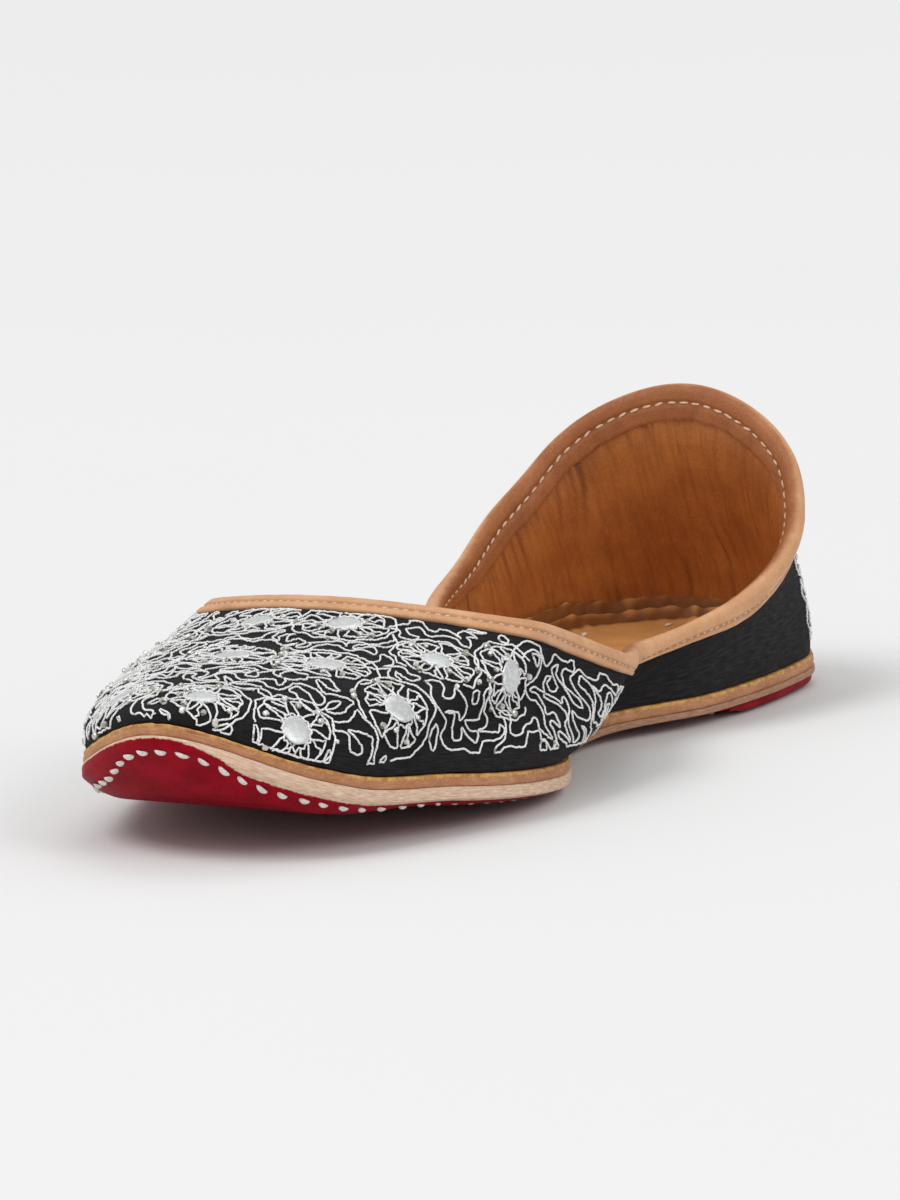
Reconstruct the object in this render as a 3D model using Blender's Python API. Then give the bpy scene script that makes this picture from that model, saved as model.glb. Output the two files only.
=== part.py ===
"""Embroidered slip-on flat on a straight last: sole plates, hollow upper and bound topline.

Frame: metres, +Z up, toe towards -Y, heel towards +Y, the floor at Z = 0, the sole's
middle above the origin. Every closed outline is walked by an angle: 0 at the toe,
pi at the heel, and a positive sine on the +X side.
"""

import math

import bmesh
import bpy
import numpy as np
from mathutils import Vector

MM = 0.001

# Driving dimensions
LENGTH = 252.0 * MM          # sole plate, toe tip to back of heel
OUTSOLE_EDGE = 2.2 * MM      # height of the pale cut edge at the ball
EDGE_BEHIND = 1.2 * MM       # and from the waist back
RAND_THICKNESS = 2.0 * MM
INSOLE_THICKNESS = 1.4 * MM
UPPER_WALL = 1.9 * MM
BINDING_LEATHER = 0.9 * MM
BINDING_OUTSIDE = 5.6 * MM   # depth of the folded strip on the outside
BINDING_INSIDE = 8.4 * MM    # and on the inside
GAP = 0.3 * MM               # between pieces that touch

# Underside
RIM_LIFT_TOE = 1.8 * MM      # how far the underside rounds up at its rim
RIM_LIFT_HEEL = 0.9 * MM
RIM_ROUND = 8.0 * MM         # width of that rounding
SPRING_START = 101.0 * MM    # from the toe tip: the tread is flat behind this
TOE_ROCKER = 11.4 * MM       # long gentle part of the toe spring
TOE_CURL = 9.0 * MM          # short curl at the tip, on top of the rocker
WAIST_START = 120.0 * MM     # the underside leaves the floor here
WAIST_END = 170.0 * MM       # and is level again from here
HEEL_START = 188.0 * MM      # front of the heel lift
HEEL_LIFT = 1.3 * MM         # thickness of the heel lift
HEEL_SKIVE = 8.0 * MM        # length of its thinned front
HEEL_KICK_START = 228.0 * MM
HEEL_KICK = 1.2 * MM         # rise of the very back

# Insets from the sole's outline
RAND_INSET = 0.3 * MM
UPPER_INSET = 0.9 * MM
HEEL_INSET = 0.6 * MM

AROUND = 96                  # points round every outline
UPPER_ROWS = 8               # rows up the outer wall
LINING_ROWS = 8              # rows up the inner wall

# Sole outline: distance from the toe tip and half width, in mm
SOLE_TOE_RADIUS = 14.0
SOLE_HEEL_RADIUS = 21.5
SOLE_OUTLINE = (
    (12, 20.5),
    (30, 29.5),
    (52, 36.2),
    (76, 39.2),
    (94, 37.0),
    (106, 32.6),
    (116, 27.6),
    (128, 22.4),
    (141, 19.6),
    (153, 20.4),
    (164, 24.0),
    (176, 27.8),
    (190, 29.4),
    (206, 29.8),
    (222, 28.8),
    (239, 23.2),
)

# Finished topline: distance from the toe tip, half width and height, in mm
THROAT = (76.0, 38.5)        # distance and height at the middle of the throat
COLLAR = (232.7, 58.1)       # the same at the middle of the heel
TOPLINE = (
    (81.8, 24.3, 36.3),
    (94.0, 33.3, 33.1),
    (108.0, 36.2, 28.1),
    (123.0, 36.5, 23.3),
    (138.0, 32.3, 20.2),
    (156.0, 25.7, 18.8),
    (176.6, 29.8, 22.6),
    (198.0, 33.9, 27.4),
    (211.2, 33.6, 34.1),
    (221.3, 29.4, 42.0),
    (226.9, 23.6, 49.0),
    (230.9, 13.4, 55.2),
)

# Curve of the wall between sole and topline, by share of the way round from toe to heel.
# The foot of each rib rises and leans out; its head drops and leans out from the topline.
# share, foot rise, foot lean, head drop, head lean, in mm
RIBS = (
    (0.00, 7.7, 3.9, 10.5, 23.0),
    (0.15, 9.9, 2.8, 11.4, 5.6),
    (0.30, 6.0, 6.9, 7.0, 0.6),
    (0.45, 4.3, 6.2, 3.6, -5.3),
    (0.60, 5.8, 0.0, 5.5, 0.9),
    (0.80, 7.5, 0.5, 6.4, -4.5),
    (1.00, 14.0, 0.6, 13.1, -5.6),
)

# Piece: colour, roughness
FINISH = {
    "outsole": ((0.80, 0.56, 0.42, 1.0), 0.60),
    "heel_lift": ((0.36, 0.015, 0.03, 1.0), 0.45),
    "rand": ((0.62, 0.30, 0.13, 1.0), 0.60),
    "insole": ((0.48, 0.22, 0.07, 1.0), 0.55),
    "upper": ((0.012, 0.012, 0.013, 1.0), 0.85),
    "topline_binding": ((0.66, 0.33, 0.16, 1.0), 0.55),
}


# ---------------------------------------------------------------- curves from the tables

def smooth_curve(places, values):
    """A natural cubic spline through the rows of a table."""
    x = np.array(places, dtype=float)
    y = np.array(values, dtype=float)
    n = len(x)
    step = np.diff(x)
    rise = np.diff(y) / step
    matrix = np.eye(n)
    right = np.zeros(n)
    for i in range(1, n - 1):
        matrix[i, i - 1:i + 2] = step[i - 1], 2 * (step[i - 1] + step[i]), step[i]
        right[i] = 6 * (rise[i] - rise[i - 1])
    bend = np.linalg.solve(matrix, right)

    def at(place):
        i = min(max(int(np.searchsorted(x, place)) - 1, 0), n - 2)
        h = step[i]
        left, back = (x[i + 1] - place) / h, (place - x[i]) / h
        curve = ((left ** 3 - left) * bend[i] + (back ** 3 - back) * bend[i + 1]) * h * h / 6
        return float(left * y[i] + back * y[i + 1] + curve)

    return at


def share(angle):
    """How far along the length a point at this angle lies: 0 at the toe, 1 at the heel."""
    return (1 - math.cos(angle)) / 2


def fullness(rows, start, end, toe_radius, heel_radius):
    """Half width over sine of the angle, which stays smooth round both ends."""
    half = (end - start) / 2
    shares, values = [0.0], [math.sqrt(toe_radius * half)]
    for station, width in rows:
        s = (station - start) / (end - start)
        shares.append(s)
        values.append(width / math.sqrt(4 * s * (1 - s)))
    shares.append(1.0)
    values.append(math.sqrt(heel_radius * half))
    return smooth_curve(shares, values)


THROAT_RADIUS = 49.0         # of the topline's front, seen from above, in mm
COLLAR_RADIUS = 47.0         # and of its back
LENGTH_MM = LENGTH / MM
sole_fullness = fullness(SOLE_OUTLINE, 0.0, LENGTH_MM, SOLE_TOE_RADIUS, SOLE_HEEL_RADIUS)
top_fullness = fullness([row[:2] for row in TOPLINE], THROAT[0], COLLAR[0],
                        THROAT_RADIUS, COLLAR_RADIUS)
top_height = smooth_curve([THROAT[0]] + [row[0] for row in TOPLINE] + [COLLAR[0]],
                          [THROAT[1]] + [row[2] for row in TOPLINE] + [COLLAR[1]])
rib_curves = [smooth_curve([row[0] for row in RIBS], [row[i] for row in RIBS])
              for i in range(1, 5)]


def smoothstep(low, high, value):
    t = min(max((value - low) / (high - low), 0.0), 1.0)
    return t * t * (3 - 2 * t)


# ---------------------------------------------------------------- the sole's surfaces

def outline(angle, inset=0.0):
    """A point of the sole's outline, moved inwards by the inset."""
    def raw(a):
        return (math.sin(a) * sole_fullness(share(a)) * MM, -LENGTH / 2 * math.cos(a))

    x, y = raw(angle)
    nx, ny = outline_normal(raw, angle)
    return x - inset * nx, y - inset * ny


def outline_normal(raw, angle, step=1e-3):
    x0, y0 = raw(angle - step)
    x1, y1 = raw(angle + step)
    run = math.hypot(x1 - x0, y1 - y0)
    return (y1 - y0) / run, -(x1 - x0) / run


def tread_height(y):
    """Height of the outsole's underside on its middle line."""
    station = y + LENGTH / 2
    ahead = max((SPRING_START - station) / SPRING_START, 0.0)
    spring = TOE_ROCKER * ahead ** 1.2 + TOE_CURL * ahead ** 5
    waist = (HEEL_LIFT + GAP) * smoothstep(WAIST_START, WAIST_END, station)
    kick = max((station - HEEL_KICK_START) / (LENGTH - HEEL_KICK_START), 0.0)
    return spring + waist + HEEL_KICK * kick ** 2


def rim_lift(y):
    station = y + LENGTH / 2
    return RIM_LIFT_TOE + (RIM_LIFT_HEEL - RIM_LIFT_TOE) * smoothstep(SPRING_START, HEEL_START, station)


def edge_height(y):
    station = y + LENGTH / 2
    return OUTSOLE_EDGE + (EDGE_BEHIND - OUTSOLE_EDGE) * smoothstep(SPRING_START, WAIST_END, station)


def outsole_top(y):
    return tread_height(y) + rim_lift(y) + edge_height(y)


def rand_bottom(y):
    return outsole_top(y) + GAP


def rand_top(y):
    return rand_bottom(y) + RAND_THICKNESS


def seat(y):
    """Where the upper and the insole stand on the rand."""
    return rand_top(y) + GAP


# ---------------------------------------------------------------- the upper's surface

def topline(angle):
    s = share(angle)
    station = THROAT[0] + (COLLAR[0] - THROAT[0]) * s
    return Vector((math.sin(angle) * top_fullness(s) * MM,
                   station * MM - LENGTH / 2,
                   top_height(station) * MM))


def rib(angle):
    """The four control points of the wall's curve, from the sole to the topline."""
    s = share(angle)
    x, y = outline(angle, UPPER_INSET)
    foot = Vector((x, y, seat(y)))
    x_out, y_out = outline(angle, UPPER_INSET - 1.0 * MM)
    out = Vector((x_out - x, y_out - y, 0.0)).normalized()
    up = Vector((0.0, 0.0, 1.0))
    rise, lean, drop, head = (curve(s) * MM for curve in rib_curves)
    top = topline(angle)
    return foot, foot + up * rise + out * lean, top - up * drop + out * head, top


def wall_point(angle, v):
    """A point on the outer face: v is 0 at the sole and 1 at the finished topline."""
    a, b, c, d = rib(angle)
    w = 1 - v
    return a * w ** 3 + b * (3 * v * w * w) + c * (3 * v * v * w) + d * v ** 3


def wall_normal(angle, v, step=2e-3):
    low, high = max(v - step, 0.0), min(v + step, 1.0)
    across = wall_point(angle + step, v) - wall_point(angle - step, v)
    upward = wall_point(angle, high) - wall_point(angle, low)
    return across.cross(upward).normalized()


def drop_to_share(angle, drop, samples=160):
    """The v that lies this distance below the topline, measured down the wall."""
    travelled = 0.0
    last = wall_point(angle, 1.0)
    for i in range(1, samples + 1):
        v = 1 - i / samples
        here = wall_point(angle, v)
        length = (here - last).length
        if travelled + length >= drop:
            return v + (1 - (drop - travelled) / length) / samples
        travelled += length
        last = here
    return 0.0


# ---------------------------------------------------------------- meshes from rings

def ring_angles():
    return [2 * math.pi * i / AROUND for i in range(AROUND)]


def level_ring(inset, height):
    """A loop parallel to the sole's outline, at a height that depends on Y alone."""
    points = []
    for angle in ring_angles():
        x, y = outline(angle, inset)
        points.append(Vector((x, y, height(y))))
    return points


def new_object(name, bm):
    bmesh.ops.recalc_face_normals(bm, faces=bm.faces)
    mesh = bpy.data.meshes.new(name)
    bm.to_mesh(mesh)
    bm.free()
    mesh.shade_smooth()
    mesh.set_sharp_from_angle(angle=math.radians(40))
    colour, roughness = FINISH[name]
    material = bpy.data.materials.new(name + "_finish")
    material.use_nodes = True
    shader = material.node_tree.nodes["Principled BSDF"]
    shader.inputs["Base Color"].default_value = colour
    shader.inputs["Roughness"].default_value = roughness
    material.diffuse_color = colour
    mesh.materials.append(material)
    obj = bpy.data.objects.new(name, mesh)
    bpy.context.scene.collection.objects.link(obj)
    obj.parent = shoe
    return obj


def bridge(bm, rings, closed=False):
    """Quads between neighbouring rings; closed joins the last ring to the first."""
    loops = [[bm.verts.new(p) for p in ring] for ring in rings]
    pairs = list(zip(loops, loops[1:]))
    if closed:
        pairs.append((loops[-1], loops[0]))
    for low, high in pairs:
        for i in range(len(low)):
            j = (i + 1) % len(low)
            bm.faces.new((low[i], low[j], high[j], high[i]))
    return loops


def ladder(bm, loop):
    """Close a loop that is the same on both sides with rungs straight across it."""
    n = len(loop)
    bm.faces.new((loop[0], loop[1], loop[-1]))
    for i in range(1, n // 2 - 1):
        bm.faces.new((loop[i], loop[i + 1], loop[n - i - 1], loop[n - i]))
    bm.faces.new((loop[n // 2 - 1], loop[n // 2], loop[n // 2 + 1]))


def plate(name, rings):
    bm = bmesh.new()
    loops = bridge(bm, rings)
    ladder(bm, loops[0])
    ladder(bm, loops[-1])
    return new_object(name, bm)


# ---------------------------------------------------------------- the pieces

def make_outsole():
    def underside(inset):
        rise = (1 - inset / RIM_ROUND) ** 2
        return level_ring(inset, lambda y: tread_height(y) + rim_lift(y) * rise)

    rings = [underside(RIM_ROUND), underside(0.55 * RIM_ROUND), underside(0.25 * RIM_ROUND),
             underside(0.0)]
    rings.append(level_ring(0.0, lambda y: outsole_top(y) - 0.3 * MM))
    rings.append(level_ring(0.3 * MM, outsole_top))
    plate("outsole", rings)


def make_heel_lift():
    """Follows the outsole's rim round the heel; its front is thinned to a feather."""
    rows = 26
    first = math.acos(1 - 2 * HEEL_START / LENGTH)
    side = [first + (math.pi - first) * i / rows for i in range(rows + 1)]
    angles = side + [2 * math.pi - a for a in reversed(side[:-1])]
    feather = 0.5 * MM

    def top(y, rise):
        return tread_height(y) - GAP + rim_lift(y) * rise

    def bottom(y, rise):
        station = y + LENGTH / 2
        thick = feather + (HEEL_LIFT - feather) * smoothstep(HEEL_START, HEEL_START + HEEL_SKIVE, station)
        return top(y, rise) - thick

    def ring(inset, height):
        rise = (1 - inset / RIM_ROUND) ** 2
        points = []
        for angle in angles:
            x, y = outline(angle, inset)
            points.append(Vector((x, y, height(y, rise))))
        return points

    rings = [ring(RIM_ROUND, top), ring(0.45 * RIM_ROUND, top), ring(HEEL_INSET, top),
             ring(HEEL_INSET, lambda y, rise: bottom(y, rise) + 0.4 * MM),
             ring(HEEL_INSET + 0.4 * MM, bottom), ring(0.45 * RIM_ROUND, bottom), ring(RIM_ROUND, bottom)]
    bm = bmesh.new()
    loops = [[bm.verts.new(p) for p in r] for r in rings]
    n = len(angles)
    for low, high in zip(loops, loops[1:]):
        for i in range(n - 1):
            bm.faces.new((low[i], low[i + 1], high[i + 1], high[i]))
    for loop in (loops[0], loops[-1]):
        for i in range(rows - 1):
            bm.faces.new((loop[i], loop[i + 1], loop[n - 2 - i], loop[n - 1 - i]))
        bm.faces.new((loop[rows - 1], loop[rows], loop[rows + 1]))
    front = [loop[0] for loop in loops] + [loop[-1] for loop in reversed(loops)]
    bm.faces.new(front)
    new_object("heel_lift", bm)


def make_rand():
    inset = RAND_INSET
    plate("rand", [
        level_ring(inset + 0.3 * MM, rand_bottom),
        level_ring(inset, lambda y: rand_bottom(y) + 0.3 * MM),
        level_ring(inset, lambda y: rand_top(y) - 0.5 * MM),
        level_ring(inset + 0.5 * MM, rand_top),
    ])


def make_insole():
    inset = UPPER_INSET + UPPER_WALL + 0.7 * MM
    plate("insole", [
        level_ring(inset + 0.3 * MM, seat),
        level_ring(inset, lambda y: seat(y) + 0.3 * MM),
        level_ring(inset, lambda y: seat(y) + INSOLE_THICKNESS - 0.4 * MM),
        level_ring(inset + 0.5 * MM, lambda y: seat(y) + INSOLE_THICKNESS),
    ])


def wall_ring(drop, offset, row_share=1.0):
    """One ring of the wall, at a share of the height left below a drop from the topline."""
    points = []
    for angle in ring_angles():
        v = row_share * drop_to_share(angle, drop)
        if row_share == 0.0:
            x, y = outline(angle, UPPER_INSET + offset)
            points.append(Vector((x, y, seat(y))))
        else:
            points.append(wall_point(angle, v) - wall_normal(angle, v) * offset)
    return points


def make_upper():
    """One hollow wall: outer face up, across the raw edge, inner face down."""
    raw_edge = BINDING_LEATHER + 2.5 * GAP
    outer = [wall_ring(BINDING_OUTSIDE, 0.0, i / UPPER_ROWS) for i in range(UPPER_ROWS + 1)]
    outer += [wall_ring(drop, 0.0) for drop in (0.5 * BINDING_OUTSIDE, raw_edge)]
    inner = [wall_ring(drop, UPPER_WALL) for drop in (raw_edge, 0.5 * BINDING_INSIDE)]
    inner += [wall_ring(BINDING_INSIDE, UPPER_WALL, i / LINING_ROWS) for i in range(LINING_ROWS, -1, -1)]
    bm = bmesh.new()
    bridge(bm, outer + inner, closed=True)
    new_object("upper", bm)


def make_binding():
    """A strip folded over the raw edge, with a rounded fold at the topline."""
    near = GAP
    far = GAP + BINDING_LEATHER
    inside_near = UPPER_WALL + near
    inside_far = UPPER_WALL + far
    # drop below the topline, offset inwards from the wall's outer face
    section = (
        (BINDING_OUTSIDE, -near),
        (BINDING_OUTSIDE, -far),
        (0.5 * BINDING_OUTSIDE, -far),
        (0.2 * BINDING_OUTSIDE, -far),
        (0.0, 0.15 * UPPER_WALL),
        (0.0, 0.85 * UPPER_WALL),
        (0.2 * BINDING_OUTSIDE, inside_far),
        (0.5 * BINDING_INSIDE, inside_far),
        (BINDING_INSIDE, inside_far),
        (BINDING_INSIDE, inside_near),
        (0.5 * BINDING_INSIDE, inside_near),
        (BINDING_LEATHER, inside_near),
        (BINDING_LEATHER, -near),
        (0.5 * BINDING_OUTSIDE, -near),
    )
    rings = [wall_ring(drop, offset) for drop, offset in section]
    bm = bmesh.new()
    bridge(bm, rings, closed=True)
    new_object("topline_binding", bm)


for old in list(bpy.data.objects):
    bpy.data.objects.remove(old, do_unlink=True)

shoe = bpy.data.objects.new("flat_shoe", None)
bpy.context.scene.collection.objects.link(shoe)

make_outsole()
make_heel_lift()
make_rand()
make_insole()
make_upper()
make_binding()
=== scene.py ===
"""Looks of the embroidered slip-on flat: cut leather sole plates, black cloth upper,
leather lining and bound topline, silver thread flowers round small mirrors.

Frame: metres, +Z up, toe towards -Y, heel towards +Y, width along X. Every outline is
walked by an angle: 0 at the toe, pi at the heel, positive sine on the +X side. A station
is a distance from the toe tip, a drop a distance down the wall from the topline.
"""

import math
import random

import bmesh
import bpy
import numpy as np
from mathutils import Matrix, Vector, kdtree, noise


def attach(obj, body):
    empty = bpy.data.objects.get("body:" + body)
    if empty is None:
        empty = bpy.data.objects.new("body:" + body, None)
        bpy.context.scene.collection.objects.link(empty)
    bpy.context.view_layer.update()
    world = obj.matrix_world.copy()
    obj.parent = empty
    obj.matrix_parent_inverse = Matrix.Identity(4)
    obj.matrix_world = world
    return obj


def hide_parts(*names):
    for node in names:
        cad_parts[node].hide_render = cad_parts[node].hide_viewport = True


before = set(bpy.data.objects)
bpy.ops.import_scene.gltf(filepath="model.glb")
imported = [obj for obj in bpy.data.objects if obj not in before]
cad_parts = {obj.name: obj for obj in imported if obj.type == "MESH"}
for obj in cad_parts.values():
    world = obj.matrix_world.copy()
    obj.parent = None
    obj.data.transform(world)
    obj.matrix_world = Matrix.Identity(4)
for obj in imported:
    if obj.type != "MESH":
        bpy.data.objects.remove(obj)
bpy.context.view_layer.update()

MM = 0.001

# ------------------------------------------------------------ sizes shared with the solids

LENGTH = 252.0 * MM
OUTSOLE_EDGE, EDGE_BEHIND = 2.2 * MM, 1.2 * MM
RAND_THICKNESS = 2.0 * MM
INSOLE_THICKNESS = 1.4 * MM
UPPER_WALL = 1.9 * MM
GAP = 0.3 * MM
RIM_LIFT_TOE, RIM_LIFT_HEEL, RIM_ROUND = 1.8 * MM, 0.9 * MM, 8.0 * MM
SPRING_START, TOE_ROCKER, TOE_CURL = 101.0 * MM, 11.4 * MM, 9.0 * MM
WAIST_START, WAIST_END = 120.0 * MM, 170.0 * MM
HEEL_START, HEEL_LIFT, HEEL_SKIVE = 188.0 * MM, 1.3 * MM, 8.0 * MM
HEEL_KICK_START, HEEL_KICK = 228.0 * MM, 1.2 * MM
UPPER_INSET, HEEL_INSET = 0.9 * MM, 0.6 * MM
INSOLE_INSET = UPPER_INSET + UPPER_WALL + 0.7 * MM

# Sole outline: station and half width, in mm
SOLE_TOE_RADIUS, SOLE_HEEL_RADIUS = 14.0, 21.5
SOLE_OUTLINE = (
    (12, 20.5), (30, 29.5), (52, 36.2), (76, 39.2), (94, 37.0), (106, 32.6), (116, 27.6),
    (128, 22.4), (141, 19.6), (153, 20.4), (164, 24.0), (176, 27.8), (190, 29.4), (206, 29.8),
    (222, 28.8), (239, 23.2),
)

# Finished topline: station, half width and height, in mm; throat and collar have no width
THROAT, COLLAR = (76.0, 38.5), (232.7, 58.1)
THROAT_RADIUS, COLLAR_RADIUS = 49.0, 47.0
TOPLINE = (
    (81.8, 24.3, 36.3), (94.0, 33.3, 33.1), (108.0, 36.2, 28.1), (123.0, 36.5, 23.3),
    (138.0, 32.3, 20.2), (156.0, 25.7, 18.8), (176.6, 29.8, 22.6), (198.0, 33.9, 27.4),
    (211.2, 33.6, 34.1), (221.3, 29.4, 42.0), (226.9, 23.6, 49.0), (230.9, 13.4, 55.2),
)

# Curve of the wall: share of the way round, foot rise, foot lean, head drop, head lean, in mm
RIBS = (
    (0.00, 7.7, 3.9, 10.5, 23.0), (0.15, 9.9, 2.8, 11.4, 5.6), (0.30, 6.0, 6.9, 7.0, 0.6),
    (0.45, 4.3, 6.2, 3.6, -5.3), (0.60, 5.8, 0.0, 5.5, 0.9), (0.80, 7.5, 0.5, 6.4, -4.5),
    (1.00, 14.0, 0.6, 13.1, -5.6),
)

# ------------------------------------------------------------ sizes of the dressing alone

# The tread as it has settled: lower ahead of the ball, fuller in the middle under the toes
TOE_SETTLE, TOE_BELLY = 1.8 * MM, 1.4 * MM
CUT_WANDER = 0.16 * MM
HEM = 2.2 * MM
CLOTH_THICKNESS = 1.0 * MM

# The binding: how far it reaches down, where it is sewn, its leather and its rounded top
BINDING_OUTSIDE, BINDING_INSIDE = 5.6 * MM, 6.4 * MM
OUTSIDE_STITCH, INSIDE_STITCH = 3.5 * MM, 3.4 * MM
LEAF, CROWN = 0.85 * MM, 1.8 * MM

# Points round the plates of the sole and round the layers of the wall
SOLE_AROUND, WALL_AROUND = 480, 640

# ------------------------------------------------------------ curves from the tables

def smooth_curve(places, values):
    """A natural cubic spline through the rows of a table, for arrays of places."""
    x, y = np.array(places, float), np.array(values, float)
    n, step = len(x), np.diff(x)
    rise = np.diff(y) / step
    matrix, right = np.eye(n), np.zeros(n)
    for i in range(1, n - 1):
        matrix[i, i - 1:i + 2] = step[i - 1], 2 * (step[i - 1] + step[i]), step[i]
        right[i] = 6 * (rise[i] - rise[i - 1])
    bend = np.linalg.solve(matrix, right)

    def at(place):
        place = np.asarray(place, float)
        i = np.clip(np.searchsorted(x, place) - 1, 0, n - 2)
        h = step[i]
        left, back = (x[i + 1] - place) / h, (place - x[i]) / h
        return (left * y[i] + back * y[i + 1]
                + ((left ** 3 - left) * bend[i] + (back ** 3 - back) * bend[i + 1]) * h * h / 6)

    return at


def share(angle):
    """Share of the way from the toe to the heel."""
    return (1 - np.cos(angle)) / 2


def fullness(rows, start, end, toe_radius, heel_radius):
    """Half width over sine of the angle, which stays smooth round both ends."""
    half = (end - start) / 2
    shares, values = [0.0], [math.sqrt(toe_radius * half)]
    for station, width in rows:
        s = (station - start) / (end - start)
        shares.append(s)
        values.append(width / math.sqrt(4 * s * (1 - s)))
    return smooth_curve(shares + [1.0], values + [math.sqrt(heel_radius * half)])


sole_fullness = fullness(SOLE_OUTLINE, 0.0, LENGTH / MM, SOLE_TOE_RADIUS, SOLE_HEEL_RADIUS)
top_fullness = fullness([r[:2] for r in TOPLINE], THROAT[0], COLLAR[0], THROAT_RADIUS, COLLAR_RADIUS)
top_height = smooth_curve([THROAT[0]] + [r[0] for r in TOPLINE] + [COLLAR[0]],
                          [THROAT[1]] + [r[2] for r in TOPLINE] + [COLLAR[1]])
rib_curves = [smooth_curve([r[0] for r in RIBS], [r[i] for r in RIBS]) for i in range(1, 5)]


def smoothstep(low, high, value):
    """Eases from 0 at low to 1 at high."""
    t = np.clip((np.asarray(value, float) - low) / (high - low), 0.0, 1.0)
    return t * t * (3 - 2 * t)


def outline(angle, inset=0.0):
    """Points of the sole's outline, moved inwards by the inset: x and y arrays."""
    def raw(a):
        return np.sin(a) * sole_fullness(share(a)) * MM, -LENGTH / 2 * np.cos(a)

    angle = np.asarray(angle, float)
    x, y = raw(angle)
    x0, y0 = raw(angle - 1e-3)
    x1, y1 = raw(angle + 1e-3)
    run = np.hypot(x1 - x0, y1 - y0)
    return x - inset * (y1 - y0) / run, y + inset * (x1 - x0) / run


def station_of(y):
    return np.asarray(y, float) + LENGTH / 2


def tread_height(y):
    """Height of the lowest leather: curled at the toe, raised on the heel lift behind the waist."""
    station = station_of(y)
    ahead = np.maximum((SPRING_START - station) / SPRING_START, 0.0)
    kick = np.maximum((station - HEEL_KICK_START) / (LENGTH - HEEL_KICK_START), 0.0)
    ahead_of_ball = smoothstep(-2 * MM, 16 * MM, station) * (1 - smoothstep(24 * MM, 52 * MM, station))
    return (TOE_ROCKER * ahead ** 1.2 + TOE_CURL * ahead ** 5
            + (HEEL_LIFT + GAP) * smoothstep(WAIST_START, WAIST_END, station) + HEEL_KICK * kick ** 2
            - TOE_SETTLE * ahead_of_ball)


def belly(y):
    """How far the middle of the underside hangs below its rounded margin, under the toes."""
    station = station_of(y) / MM
    return TOE_BELLY * smoothstep(-1, 11, station) * (1 - smoothstep(20, 48, station))


def rim_lift(y):
    """Rise of the underside from the tread to its rim."""
    return RIM_LIFT_TOE + (RIM_LIFT_HEEL - RIM_LIFT_TOE) * smoothstep(SPRING_START, HEEL_START, station_of(y))


def edge_height(y):
    return OUTSOLE_EDGE + (EDGE_BEHIND - OUTSOLE_EDGE) * smoothstep(SPRING_START, WAIST_END, station_of(y))


def outsole_top(y):
    return tread_height(y) + rim_lift(y) + edge_height(y)


def rand_top(y):
    return outsole_top(y) + GAP + RAND_THICKNESS


def seat(y):
    """Height at which the upper and the insole stand on the rand."""
    return rand_top(y) + GAP


def stack(*parts):
    return np.stack(np.broadcast_arrays(*parts), axis=-1)


def wall(angle, v):
    """Points of the upper's outer face: v is 0 at the sole and 1 at the finished topline."""
    angle, v = np.broadcast_arrays(np.asarray(angle, float), np.asarray(v, float))
    s = share(angle)
    x, y = outline(angle, UPPER_INSET)
    x_out, y_out = outline(angle, UPPER_INSET - 1.0 * MM)
    out = stack(x_out - x, y_out - y, 0 * x)
    out /= np.linalg.norm(out, axis=-1, keepdims=True)
    up = np.array((0.0, 0.0, 1.0))
    rise, lean, drop, head = (curve(s)[..., None] * MM for curve in rib_curves)
    station = THROAT[0] + (COLLAR[0] - THROAT[0]) * s
    top = stack(np.sin(angle) * top_fullness(s) * MM, station * MM - LENGTH / 2, top_height(station) * MM)
    foot = stack(x, y, seat(y))
    v = v[..., None]
    w = 1 - v
    return (foot * w ** 3 + (foot + up * rise + out * lean) * (3 * v * w * w)
            + (top - up * drop + out * head) * (3 * v * v * w) + top * v ** 3)


def wall_normal(angle, v, step=2e-3):
    """Directions straight out of the wall, of unit length."""
    across = wall(angle + step, v) - wall(angle - step, v)
    upward = wall(angle, np.minimum(v + step, 1)) - wall(angle, np.maximum(v - step, 0))
    n = np.cross(across, upward)
    return n / np.linalg.norm(n, axis=-1, keepdims=True)


def drop_table(angles, samples=200):
    """Length down the wall from the topline, for evenly spaced v from 1 to 0."""
    v = np.linspace(1, 0, samples)
    points = wall(angles[:, None], v[None, :])
    run = np.linalg.norm(np.diff(points, axis=1), axis=2)
    return v, np.concatenate([np.zeros((len(angles), 1)), np.cumsum(run, axis=1)], axis=1)


def share_at_drop(drop):
    """v at this drop, one value for each angle round the wall."""
    v, run = wall_drops
    drop = np.broadcast_to(drop, (run.shape[0],))
    return np.array([np.interp(d, row, v) for d, row in zip(drop, run)])


def around(count):
    return 2 * np.pi * np.arange(count) / count


sole_angles = around(SOLE_AROUND)
wall_angles = around(WALL_AROUND)
wall_drops = drop_table(wall_angles)
sole_stations = station_of(outline(sole_angles)[1]) / MM


def ripple(angle, terms, seed):
    """A small smooth wander round a closed outline, from -1 to 1."""
    dice = random.Random(seed)
    total = np.zeros_like(angle)
    for turns in terms:
        level = math.sin(dice.uniform(0, 6)) * 0.3
        total += level * np.cos(turns * angle) + dice.uniform(0.4, 1) * np.sin(
            turns * angle + dice.uniform(0, 6.28))
    return total / len(terms)


def run_along(points):
    """Distance of each point of a line from its first."""
    return np.concatenate([[0.0], np.cumsum(np.linalg.norm(np.diff(points, axis=0), axis=1))])


def run_round(ring):
    """Distance along a closed ring, with the closing length as its last value, in mm."""
    return run_along(np.vstack([ring, ring[:1]])) / MM


def on_line(at, run, line):
    """Points of a line at the given distances along it."""
    return np.array([np.interp(at, run, column) for column in line.T]).T


def part_way(rows, at):
    """A row between two rows of a grid, at a place that isn't whole."""
    k = min(int(at), len(rows) - 2)
    return rows[k] + (rows[k + 1] - rows[k]) * (at - k)


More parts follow.
